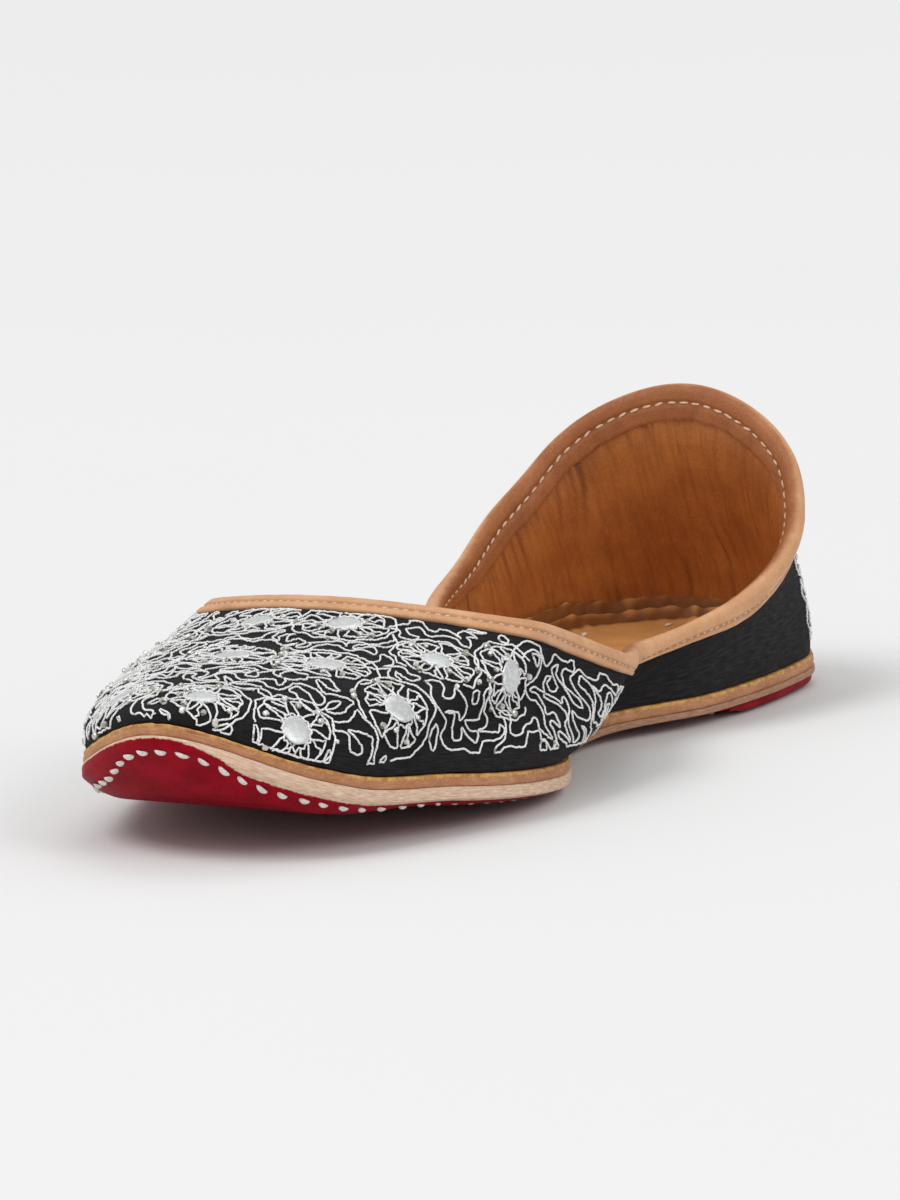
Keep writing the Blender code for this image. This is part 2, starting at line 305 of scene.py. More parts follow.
def level_ring(inset, height):
    """A ring round the sole at an inset, as high as a function of y says."""
    x, y = outline(sole_angles, inset)
    return stack(x, y, height(y))


def wall_ring(drop, offset, row_share=1.0):
    """A ring of the wall: its drop, its offset inwards, and its share of the height below that drop."""
    if row_share == 0.0:
        x, y = outline(wall_angles, UPPER_INSET + np.mean(offset))
        return stack(x, y, seat(y))
    v = row_share * share_at_drop(drop)
    return wall(wall_angles, v) - wall_normal(wall_angles, v) * np.broadcast_to(offset, v.shape)[:, None]


# ------------------------------------------------------------ meshes

def link(obj):
    bpy.context.scene.collection.objects.link(obj)
    return obj


def turn_outwards(mesh, merge_within=0.0):
    """Merges doubled points, where asked to, and turns every face outwards."""
    bm = bmesh.new()
    bm.from_mesh(mesh)
    if merge_within:
        bmesh.ops.remove_doubles(bm, verts=bm.verts, dist=merge_within)
    bmesh.ops.recalc_face_normals(bm, faces=bm.faces)
    bm.to_mesh(mesh)
    bm.free()


def finish_mesh(name, verts, faces, corner_uv=None, material=None, sharp=40):
    """A smooth object, creased only where it bends by more than so many degrees."""
    mesh = bpy.data.meshes.new(name)
    # whole nanometres, so that every run gives the same mesh
    mesh.from_pydata((np.round(np.asarray(verts, float), 9) + 0.0).tolist(), [], faces)
    if corner_uv is not None:
        layer = mesh.uv_layers.new(name="surface_mm")
        layer.data.foreach_set("uv", np.asarray(corner_uv, np.float32).ravel())
    turn_outwards(mesh)
    mesh.shade_smooth()
    mesh.set_sharp_from_angle(angle=math.radians(sharp))
    if material:
        mesh.materials.append(material)
    return link(bpy.data.objects.new(name, mesh))


def store(obj, name, values, rest=0.0):
    """Keeps one number for each point, for the finish to read: the values, then rest for those left."""
    full = np.full(len(obj.data.vertices), rest, np.float32)
    full[:len(values)] = values
    obj.data.attributes.new(name, "FLOAT", "POINT").data.foreach_set("value", full)


def quad(low, high, i, j):
    """A face between two rows of points, given by their first points, from place i to place j."""
    return (low + i, low + j, high + j, high + i)


def quad_uv(left, right, low, high):
    return [(left, low), (right, low), (right, high), (left, high)]


def sleeve(rings, section, closed):
    """Quads between neighbouring rings with their UVs: mm round the shoe, mm across."""
    rows, count = rings.shape[:2]
    u = run_round(rings[rows // 2])
    faces, uvs = [], []
    pairs = [(r, r + 1, section[r], section[r + 1]) for r in range(rows - 1)]
    if closed:
        pairs.append((rows - 1, 0, section[-2], section[-1]))
    for low, high, v0, v1 in pairs:
        for i in range(count):
            faces.append(quad(low * count, high * count, i, (i + 1) % count))
            uvs += quad_uv(u[i], u[i + 1], v0, v1)
    return faces, uvs


def cap(verts, ring_start, count, columns, height, v):
    """Rungs straight across a symmetric loop, cut into columns that are closer near its edge."""
    half = count // 2
    ring = verts[ring_start:ring_start + count]
    grid = {}
    share_across = np.linspace(0, 1, columns + 1)
    share_across -= 0.10 * np.sin(2 * np.pi * share_across) / (2 * np.pi)
    for k in range(1, half):
        a, b = ring[k], ring[count - k]
        grid[k, 0], grid[k, columns] = ring_start + k, ring_start + count - k
        for c in range(1, columns):
            p = a + (b - a) * share_across[c]
            p[2] = height(p[1])
            grid[k, c] = len(verts)
            verts.append(p)
    faces, uvs = [], []

    def add(*ids):
        faces.append(ids)
        uvs.extend((verts[i][0] / MM, v) for i in ids)

    for c in range(columns):
        add(ring_start, grid[1, c], grid[1, c + 1])
        add(ring_start + half, grid[half - 1, c + 1], grid[half - 1, c])
        for k in range(1, half - 1):
            add(grid[k, c], grid[k + 1, c], grid[k + 1, c + 1], grid[k, c + 1])
    return faces, uvs


def plate_piece(name, rings, section, material, columns, under, over):
    """A plate that follows the sole: its rings, then a capped underside and top."""
    rings = np.array(rings)
    faces, uvs = sleeve(rings, section, False)
    verts = list(rings.reshape(-1, 3))
    for start, height, v in ((0, under, section[0]), (len(verts) - SOLE_AROUND, over, section[-1])):
        more, more_uv = cap(verts, start, SOLE_AROUND, columns, height, v)
        faces += more
        uvs += more_uv
    return finish_mesh(name, verts, faces, uvs, material)


def wall_layer(name, face, back, height, material):
    """A closed layer of the wall: the rings of the face that shows, then those behind it.

    The UV holds the true height up the wall on the face, so its pattern keeps its pitch.
    """
    rows = len(face) - 1
    section = list(np.arange(rows + 1) / rows * height) + [height + 1 + i for i in range(len(back) + 1)]
    rings = np.array(face + back)
    faces, uvs = sleeve(rings, section, True)
    uvs = np.array(uvs)
    corners = np.array(faces).ravel()
    row, place = corners // WALL_AROUND, corners % WALL_AROUND
    shown = row <= rows
    uvs[shown, 1] = row[shown] / rows * wall_heights()[place[shown]]
    return finish_mesh(name, rings.reshape(-1, 3), faces, uvs, material)


# ------------------------------------------------------------ nodes

FLOAT, VECTOR = "NodeSocketFloat", "NodeSocketVector"
TURN = 6.2832


def feed(tree, socket, value):
    """Links a socket to another, or gives it a plain value."""
    if isinstance(value, bpy.types.NodeSocket):
        tree.links.new(value, socket)
    else:
        socket.default_value = value


def node(tree, kind, inputs=(), **settings):
    """A node with its settings, and its inputs given as values or as sockets to link."""
    made = tree.nodes.new(kind)
    for name, value in settings.items():
        setattr(made, name, value)
    for key, value in dict(inputs).items():
        feed(tree, made.inputs[key], value)
    return made


def maths(tree, operation, a, b=0.0, c=0.0):
    return node(tree, "ShaderNodeMath", {0: a, 1: b, 2: c}, operation=operation).outputs[0]


def times(tree, a, b):
    return maths(tree, "MULTIPLY", a, b)


def plus(tree, a, b):
    return maths(tree, "ADD", a, b)


def scaled(tree, vector, by):
    return node(tree, "ShaderNodeVectorMath", {0: vector, 1: by}, operation="MULTIPLY").outputs[0]


def parts_of(tree, vector):
    return node(tree, "ShaderNodeSeparateXYZ", {0: vector}).outputs


def ramp(tree, value, low, high, to_low=0.0, to_high=1.0):
    """Eases from one result to the other as the value goes from low to high."""
    return node(tree, "ShaderNodeMapRange",
                {"Value": value, "From Min": low, "From Max": high, "To Min": to_low, "To Max": to_high},
                interpolation_type="SMOOTHSTEP").outputs[0]


def blended(tree, factor, a, b):
    """Colour a where the factor is 0, colour b where it is 1."""
    return node(tree, "ShaderNodeMix", {"Factor": factor, 6: a, 7: b}, data_type="RGBA").outputs[2]


def noise_at(tree, vector, size, detail=3.0, rough=0.55, seed=0.0):
    """Soft noise whose blotches are about this size; the seed tells one from another."""
    return node(tree, "ShaderNodeTexNoise",
                {"Vector": vector, "W": seed, "Scale": 1.0 / size, "Detail": detail, "Roughness": rough},
                noise_dimensions="4D").outputs["Fac"]


# ------------------------------------------------------------ effects that several finishes share

def effect(name, takes, gives):
    """An empty shader group with named inputs and outputs."""
    tree = bpy.data.node_groups.new(name, "ShaderNodeTree")
    for label, kind, value in takes:
        socket = tree.interface.new_socket(label, in_out="INPUT", socket_type=kind)
        if value is not None:
            socket.default_value = value
    for label in gives:
        tree.interface.new_socket(label, in_out="OUTPUT", socket_type=FLOAT)
    return tree, node(tree, "NodeGroupInput").outputs, node(tree, "NodeGroupOutput").inputs


def make_grain():
    """Leather: pebbled pores, fine creases and a slow wander in tone."""
    tree, got, give = effect(
        "leather grain", [("Place mm", VECTOR, None), ("Pore mm", FLOAT, 0.5), ("Crease mm", FLOAT, 3.0)],
        ["Height", "Tone"])
    place = got["Place mm"]
    bent = noise_at(tree, place, 1.4, 2.0, 0.6, 3.0)
    shift = node(tree, "ShaderNodeCombineXYZ",
                 {"X": bent, "Y": times(tree, bent, -0.8), "Z": bent}).outputs[0]
    wander = node(tree, "ShaderNodeVectorMath", {0: place, 1: shift}, operation="ADD").outputs[0]

    def cells(size, feature):
        return node(tree, "ShaderNodeTexVoronoi",
                    {"Vector": wander, "Scale": maths(tree, "DIVIDE", 1.0, size)}, feature=feature).outputs[0]

    pores = cells(got["Pore mm"], "SMOOTH_F1")
    creases = cells(got["Crease mm"], "DISTANCE_TO_EDGE")
    fine = noise_at(tree, place, 0.25, 2.0, 0.6, 7.0)
    slow = noise_at(tree, place, 9.0, 4.0, 0.6, 11.0)
    relief = plus(tree, times(tree, ramp(tree, creases, 0.0, 0.14), 0.25), times(tree, fine, 0.25))
    feed(tree, give["Height"], plus(tree, times(tree, pores, 0.55), relief))
    feed(tree, give["Tone"], plus(tree, times(tree, slow, 0.75), times(tree, pores, 0.25)))
    return tree


def make_weave():
    """Plain weave with slubs: crossed threads of one pitch, some of them thicker."""
    tree, got, give = effect("slub weave", [("Place mm", VECTOR, None), ("Thread mm", FLOAT, 0.42)],
                             ["Height", "Shade"])
    place = got["Place mm"]
    drift = noise_at(tree, place, 2.2, 2.0, 0.5, 5.0)
    turn = maths(tree, "DIVIDE", TURN, got["Thread mm"])
    across, along = [maths(tree, "SINE", times(tree, plus(tree, axis, drift), turn))
                     for axis in parts_of(tree, place)[:2]]
    over = times(tree, across, along)
    slub = noise_at(tree, scaled(tree, place, (0.30, 1.5, 1.0)), 1.0, 2.0, 0.5, 2.0)
    feed(tree, give["Height"], plus(tree, times(tree, over, 0.32), times(tree, slub, 0.9)))
    # the shade follows the height: raised threads and slubs come out lighter, a painted highlight
    feed(tree, give["Shade"], plus(tree, times(tree, over, 0.22), slub))
    return tree


def make_ply():
    """Twisted yarn: a height, and a painted shade that is darker in the grooves between the plies, both
    winding round the thread.
    """
    tree, got, give = effect(
        "twisted ply", [("Along mm", FLOAT, 0.0), ("Round X", FLOAT, 1.0), ("Round Y", FLOAT, 0.0),
                        ("Pitch mm", FLOAT, 1.0)], ["Height", "Shade"])
    turns = times(tree, maths(tree, "DIVIDE", got["Along mm"], got["Pitch mm"]), TURN)
    wave = plus(tree, times(tree, maths(tree, "SINE", turns), got["Round X"]),
                times(tree, maths(tree, "COSINE", turns), got["Round Y"]))
    feed(tree, give["Height"], maths(tree, "MULTIPLY_ADD", wave, 0.5, 0.5))
    feed(tree, give["Shade"], ramp(tree, wave, -1.0, 0.6))
    return tree


GRAIN, WEAVE, PLY = make_grain(), make_weave(), make_ply()


# ------------------------------------------------------------ finishes

class Finish:
    """A material under way: its tree, its shader and where on the piece it is, in mm."""

    def __init__(self, name, roughness, **plain):
        self.material = bpy.data.materials.new(name)
        self.material.use_nodes = True
        self.tree = self.material.node_tree
        self.shader = self.tree.nodes["Principled BSDF"]
        for label, value in {"Roughness": roughness, **plain}.items():
            self.shader.inputs[label.replace("_", " ")].default_value = value
        here = node(self.tree, "ShaderNodeTexCoord").outputs["Object"]
        self.place = scaled(self.tree, here, (1000, 1000, 1000))
        self.surface = node(self.tree, "ShaderNodeUVMap", uv_map="surface_mm").outputs[0]

    def use(self, group, **inputs):
        made = node(self.tree, "ShaderNodeGroup", node_tree=group)
        for label, value in inputs.items():
            feed(self.tree, made.inputs[label.replace("_", " ")], value)
        return made.outputs

    def attribute(self, name):
        return node(self.tree, "ShaderNodeAttribute", attribute_name=name).outputs["Fac"]

    def tint(self, colour):
        self.tree.links.new(colour, self.shader.inputs["Base Color"])

    def rough(self, value):
        self.tree.links.new(value, self.shader.inputs["Roughness"])

    def bump(self, height, depth):
        """Depth of the relief in mm."""
        made = node(self.tree, "ShaderNodeBump", {"Height": height, "Distance": depth * MM, "Strength": 1.0})
        self.tree.links.new(made.outputs[0], self.shader.inputs["Normal"])


def rgb(red, green, blue):
    return (red, green, blue, 1.0)


def leather(name, dark, light, roughness, pore, crease, depth, **plain):
    """A grained leather between two tones: size of its pores and creases and depth of both, in mm."""
    made = Finish(name, roughness, **plain)
    grain = made.use(GRAIN, Place_mm=made.place, Pore_mm=pore, Crease_mm=crease)
    made.tone = ramp(made.tree, grain["Tone"], 0.3, 0.7)
    made.colour = blended(made.tree, made.tone, dark, light)
    made.height = grain["Height"]
    made.tint(made.colour)
    made.rough(maths(made.tree, "MULTIPLY_ADD", made.tone, -0.12, roughness + 0.06))
    made.bump(made.height, depth)
    return made


def sole_finish():
    """Pale cut edge, browner behind the ball; red paint on the underside, which bleeds up the rim."""
    made = Finish("sole leather with red paint", 0.5, Specular_IOR_Level=0.06)
    tree = made.tree
    fibres = noise_at(tree, scaled(tree, made.surface, (0.35, 4.5, 1.0)), 1.0, 4.0, 0.65, 1.0)
    blotch = noise_at(tree, made.place, 2.6, 3.0, 0.6, 4.0)
    edge = blended(tree, ramp(tree, fibres, 0.32, 0.7), rgb(0.58, 0.37, 0.25), rgb(0.88, 0.68, 0.52))
    edge = blended(tree, ramp(tree, blotch, 0.55, 0.8, 0.0, 0.35), edge, rgb(0.60, 0.26, 0.16))
    behind = ramp(tree, parts_of(tree, made.place)[1], -28.0, 22.0, 0.0, 0.8)
    brown = blended(tree, ramp(tree, fibres, 0.3, 0.7), rgb(0.22, 0.085, 0.045), rgb(0.52, 0.27, 0.16))
    edge = blended(tree, behind, edge, brown)
    scuff = noise_at(tree, made.place, 5.0, 5.0, 0.7, 9.0)
    paint = blended(tree, ramp(tree, scuff, 0.3, 0.75), rgb(0.205, 0.0012, 0.007), rgb(0.36, 0.002, 0.015))
    bleed = maths(tree, "MULTIPLY_ADD", noise_at(tree, made.place, 0.9, 3.0, 0.6, 6.0), 0.9, -0.35)
    bare = ramp(tree, maths(tree, "SUBTRACT", made.attribute("above_paint"), bleed), -0.12, 0.16)
    made.tint(blended(tree, bare, paint, edge))
    made.rough(maths(tree, "MULTIPLY_ADD", bare, 0.16, 0.52))
    grain = made.use(GRAIN, Place_mm=made.place, Pore_mm=0.35, Crease_mm=2.2)
    relief = maths(tree, "MULTIPLY_ADD", times(tree, fibres, bare), 1.6, times(tree, grain["Height"], 0.6))
    made.bump(relief, 0.09)
    return made.material


def rand_finish():
    """Tan cut leather with a rough ochre rim where it meets the cloth."""
    made = leather("tan rand leather", rgb(0.40, 0.165, 0.065), rgb(0.60, 0.29, 0.135),
                   roughness=0.62, pore=0.4, crease=2.4, depth=0.06)
    tree = made.tree
    frayed = maths(tree, "MULTIPLY_ADD", noise_at(tree, made.place, 0.9, 4.0, 0.75, 8.0), 1.7, -0.70)
    rim = ramp(tree, plus(tree, parts_of(tree, made.surface)[1], frayed), -0.10, 0.30)
    streaks = noise_at(tree, scaled(tree, made.surface, (0.3, 3.6, 1.0)), 1.0, 4.0, 0.6, 1.0)
    body = blended(tree, ramp(tree, streaks, 0.42, 0.75, 0.0, 0.75), made.colour, rgb(0.29, 0.105, 0.04))
    patches = ramp(tree, noise_at(tree, made.place, 1.6, 3.0, 0.6, 4.0), 0.38, 0.62)
    ochre = blended(tree, patches, rgb(0.42, 0.17, 0.045), rgb(0.70, 0.38, 0.095))
    made.tint(blended(tree, rim, body, ochre))
    made.bump(maths(tree, "MULTIPLY_ADD", streaks, 1.2, times(tree, made.height, 0.6)), 0.10)
    return made.material


def cloth_finish():
    """Black slubbed cotton, dull, with a painted highlight that makes its raised threads and slubs a little
    lighter, more in some slow patches.
    """
    made = Finish("black slub cloth", 0.9, Specular_IOR_Level=0.12, Sheen_Weight=0.02, Sheen_Roughness=0.5)
    tree = made.tree
    weave = made.use(WEAVE, Place_mm=made.surface, Thread_mm=0.46)
    highlight_patches = noise_at(tree, made.place, 7.0, 3.0, 0.6, 4.0)
    # painted highlight: the weave's shade follows its height, so what stands up comes out lighter
    high = times(tree, ramp(tree, weave["Shade"], 0.3, 0.9), ramp(tree, highlight_patches, 0.2, 0.8, 0.55, 1.0))
    made.tint(blended(tree, high, rgb(0.0080, 0.0075, 0.0085), rgb(0.046, 0.043, 0.047)))
    made.bump(weave["Height"], 0.16)
    return made.material


def lining_finish():
    """Saddle-brown lining leather with upright streaks, and painted shade in its creases."""
    made = leather("saddle lining leather", rgb(0.36, 0.115, 0.024), rgb(0.53, 0.195, 0.046),
                   roughness=0.46, pore=0.32, crease=2.6, depth=0.035)
    tree = made.tree
    streak = noise_at(tree, scaled(tree, made.surface, (1.0, 0.10, 1.0)), 1.5, 3.0, 0.6, 3.0)
    shade = blended(tree, ramp(tree, streak, 0.42, 0.75, 0.0, 0.65), made.colour, rgb(0.27, 0.075, 0.015))
    # the crease attribute darkens the colour: painted shade in the creases
    crease = ramp(tree, made.attribute("crease"), 0.05, 0.9, 0.0, 0.75)
    made.tint(blended(tree, crease, shade, rgb(0.13, 0.034, 0.008)))
    made.bump(maths(tree, "MULTIPLY_ADD", streak, 2.2, made.height), 0.07)
    return made.material


def insole_finish():
    """Tan leather, with painted shade in the folds of its margin."""
    made = leather("tan insole leather", rgb(0.58, 0.27, 0.085), rgb(0.74, 0.38, 0.13),
                   roughness=0.5, pore=0.3, crease=3.4, depth=0.03, Specular_IOR_Level=0.22)
    tree = made.tree
    # the crease attribute darkens the colour: painted shade in the folds
    crease = ramp(tree, made.attribute("crease"), 0.05, 0.8, 0.0, 0.85)
    made.tint(blended(tree, crease, made.colour, rgb(0.17, 0.055, 0.014)))
    return made.material


def binding_finish():
    """Light tan leather; inside the strip painted shade turns it saddle brown, and it is darker along its
    sewing.
    """
    made = leather("light tan binding leather", rgb(0.55, 0.275, 0.130), rgb(0.70, 0.39, 0.205),
                   roughness=0.52, pore=0.38, crease=2.2, depth=0.05, Specular_IOR_Level=0.35)
    tree = made.tree
    handled = ramp(tree, noise_at(tree, made.place, 14.0, 4.0, 0.6, 13.0), 0.45, 0.75, 0.0, 0.45)
    worn_and_shaded = blended(tree, handled, made.colour, rgb(0.44, 0.19, 0.075))
    # painted shade: the inner leaf is the same tan leather, coloured saddle brown as it lies in shade
    brown = blended(tree, made.tone, rgb(0.28, 0.088, 0.025), rgb(0.41, 0.148, 0.047))
    # noise that makes the edge of the painted shade wander
    shade_edge_wander = maths(tree, "MULTIPLY_ADD", noise_at(tree, made.place, 3.0, 3.0, 0.6, 2.0), 0.30, -0.15)
    # the inside leaf, where the painted shade goes
    inner = ramp(tree, plus(tree, made.attribute("inner_leaf"), shade_edge_wander), 0.50, 0.82)
    worn_and_shaded = blended(tree, inner, worn_and_shaded, brown)
    worn_and_shaded = blended(tree, times(tree, made.attribute("seam"), 0.55), worn_and_shaded, rgb(0.22, 0.080, 0.030))
    made.tint(blended(tree, times(tree, made.attribute("cut_edge"), 0.6), worn_and_shaded, rgb(0.52, 0.30, 0.17)))
    return made.material


def silver_finish():
    """Bright twisted thread with a few dark glints."""
    made = Finish("silver thread", 0.42, Metallic=0.05, Sheen_Weight=0.1)
    tree = made.tree
    ply = made.use(PLY, Along_mm=times(tree, made.attribute("thread_run"), 1000.0), Pitch_mm=0.7,
                   Round_X=made.attribute("round_x"), Round_Y=made.attribute("round_y"))
    glint = ramp(tree, noise_at(tree, made.place, 0.8, 3.0, 0.7, 2.0), 0.55, 0.72, 0.0, 0.5)
    # painted shade: darker in the grooves of the twist
    body = blended(tree, ply["Shade"], rgb(0.82, 0.82, 0.82), rgb(1.0, 1.0, 0.99))
    made.tint(blended(tree, glint, body, rgb(0.34, 0.34, 0.35)))
    made.bump(ply["Height"], 0.14)
    return made.material


def stitch_finish(name, pale, shade):
    """Matt cotton with fine strands."""
    made = Finish(name, 0.7)
    tree = made.tree
    strands = noise_at(tree, made.place, 0.35, 3.0, 0.6, 5.0)
    made.tint(blended(tree, ramp(tree, strands, 0.3, 0.7), shade, pale))
    made.bump(strands, 0.08)
    return made.material


def mirror_finish():
    """Small hand-cut mirrors: silvered, slightly hazed and scratched."""
    made = Finish("hand-cut mirror", 0.3, Metallic=0.6)
    tree = made.tree
    haze = noise_at(tree, made.place, 1.3, 4.0, 0.6, 3.0)
    spots = ramp(tree, noise_at(tree, made.place, 0.7, 3.0, 0.7, 8.0), 0.42, 0.66)
    made.tint(blended(tree, times(tree, haze, spots), rgb(0.60, 0.62, 0.62), rgb(0.92, 0.93, 0.92)))
    made.rough(maths(tree, "MULTIPLY_ADD", haze, 0.35, 0.22))
    made.bump(noise_at(tree, made.place, 2.4, 2.0, 0.5, 6.0), 0.12)
    return made.material


def bead_finish():
    """Glassy seed beads, some dark and some bright."""
    made = Finish("silver glass bead", 0.16, Metallic=0.55, Coat_Weight=0.6)
    tree = made.tree
    tone = ramp(tree, noise_at(tree, made.place, 1.6, 2.0, 0.5, 1.0), 0.35, 0.65)
    made.tint(blended(tree, tone, rgb(0.36, 0.35, 0.29), rgb(0.78, 0.78, 0.74)))
    made.bump(noise_at(tree, made.place, 0.5, 2.0, 0.5, 4.0), 0.06)
    return made.material


def heel_paint_finish():
    return leather("red heel paint", rgb(0.20, 0.0012, 0.007), rgb(0.33, 0.002, 0.014),
                   roughness=0.52, pore=0.35, crease=2.2, depth=0.05, Specular_IOR_Level=0.06).material


def floor_finish():
    made = Finish("pale seamless paper", 0.9, Specular_IOR_Level=0.0)
    tree = made.tree
    cloudy = noise_at(tree, made.place, 260.0, 2.0, 0.5, 1.0)
    made.tint(blended(tree, cloudy, rgb(0.79, 0.79, 0.79), rgb(0.81, 0.81, 0.81)))
    return made.material


# ------------------------------------------------------------ sole plates

# Rings of the outsole's underside: share of its rounded margin, from the inside out
UNDERSIDE = (1.0, 0.82, 0.66, 0.52, 0.40, 0.29, 0.19, 0.11, 0.05)

# Rings of the outsole's cut edge: share of its height, inset in mm, share of the knife's wander
CUT_EDGE = (
    (0.0, 0.06, 0.25), (0.11, 0.0, 0.6), (0.26, 0.02, 1.0), (0.48, -0.02, 0.6),
    (0.70, 0.0, 0.8), (0.87, 0.06, 1.0), (0.96, 0.16, 1.0), (1.0, 0.4, 0.6),
)

# Rings of the rand: height above its underside and inset in mm, share of the knife's wander
RAND_EDGE = (
    (-0.26, 0.75, 0.3), (-0.18, 0.42, 0.5), (0.12, 0.30, 0.9), (0.55, 0.22, 1.0),
    (0.95, 0.24, 0.9), (1.25, 0.40, 1.0), (1.45, 0.36, 1.4), (1.70, 0.30, 2.2),
    (1.96, 0.42, 2.2), (2.06, 0.75, 1.4), (2.02, 1.3, 0.6),
)

# Height in mm from which the rand's edge is torn, and seeds of the knife's wander and of the tear
RAND_TORN, KNIFE_SEED, TORN_SEED = 1.42, 3, 8

# Rings of the insole: inset and height in mm, share of the folds, painted shade in the trough
INSOLE_MARGIN = (
    (0.3, 0.0, 0.0, 0), (0.0, 0.3, 0.0, 0), (-0.10, 1.2, 0.3, 0), (-0.15, 2.4, 0.7, 0),
    (-0.10, 3.3, 1.0, 0), (0.10, 3.9, 1.0, 0.25), (0.35, 3.8, 1.0, 0.45), (0.60, 3.1, 1.0, 0.9),
    (0.80, 2.5, 1.0, 1.1), (1.10, 2.6, 1.0, 0.6), (1.45, 2.9, 0.9, 0.15), (1.80, 2.5, 0.8, 0.5),
    (2.15, 1.9, 0.7, 1.0), (2.60, 1.9, 0.5, 0.4), (3.3, 1.8, 0.3, 0.05), (4.6, 1.45, 0.1, 0),
    (6.5, 1.4, 0.0, 0),
)


def hand_cut(ring, share_of_wander, seed):
    """Moves a level ring in and out a little, as a knife does."""
    out = np.column_stack([ring[:, 0], ring[:, 1] * 0.5, 0 * ring[:, 2]])
    out /= np.maximum(np.linalg.norm(out, axis=1, keepdims=True), 1e-9)
    wander = ripple(sole_angles, (5, 11, 17, 31, 47, 73), seed) * (CUT_WANDER * share_of_wander)
    return ring + out * wander[:, None]


def rim_rise(inset):
    """Share of the rim's lift at this inset: 1 at the rim, 0 where the underside is flat."""
    return (1 - inset / RIM_ROUND) ** 2


def sole_underside(inset):
    rise = rim_rise(inset)
    return level_ring(inset, lambda y: tread_height(y) + rim_lift(y) * rise - belly(y) * (1 - rise))


def paint_height(ring):
    """How far up the cut edge the red reaches, in mm; below zero it stops short of the rim."""
    station, x = station_of(ring[:, 1]) / MM, ring[:, 0] / MM
    inner_side = (1 - smoothstep(-12, 6, x)) * (1 - smoothstep(24, 60, station))
    return 1.5 - 2.8 * smoothstep(-1, 8, station) * (1 - inner_side) - 1.7 * smoothstep(112, 138, station)


def make_outsole():
    """Underside rounded up to its rim, then the cut edge, which thins behind the ball."""
    columns, painted, unpainted = 18, -9.0, 3.0
    inner_points = (SOLE_AROUND // 2 - 1) * (columns - 1)
    rings, section, bare = [], [], []
    for part in UNDERSIDE:
        ring = sole_underside(part * RIM_ROUND)
        rings.append(ring)
        section.append(-part * RIM_ROUND / MM)
        bare.append(section[-1] - paint_height(ring))
    for up, inset, wander in CUT_EDGE:
        ring = level_ring(inset * MM, lambda y: outsole_top(y) - edge_height(y) * (1 - up))
        rings.append(hand_cut(ring, wander, KNIFE_SEED))
        section.append(up * OUTSOLE_EDGE / MM)
        bare.append(up * edge_height(ring[:, 1]) / MM - paint_height(ring))
    obj = plate_piece("outsole_leather", rings, section, sole_finish(), columns,
                      lambda y: tread_height(y) - belly(y), outsole_top)
    # the points of the underside's middle come after the rings, those of the top come last
    store(obj, "above_paint", np.concatenate(bare + [np.full(inner_points, painted)]), unpainted)
    return obj


def make_rand():
    """Middle layer: a tan edge that swells a little, and a torn rim against the cloth."""
    def at_height(height):
        return lambda y: rand_top(y) - RAND_THICKNESS + height * MM

    rings, section = [], []
    for height, inset, wander in RAND_EDGE:
        seed = KNIFE_SEED if height < RAND_TORN else TORN_SEED
        rings.append(hand_cut(level_ring(inset * MM, at_height(height)), wander, seed))
        section.append(height - RAND_TORN)
    fray = ripple(sole_angles, (61, 83, 113, 149), 5) * 0.10 * MM
    for ring in rings[-4:-1]:
        ring[:, 2] += fray
    return plate_piece("rand_leather", rings, section, rand_finish(), 12,
                       at_height(RAND_EDGE[0][0]), rand_top)


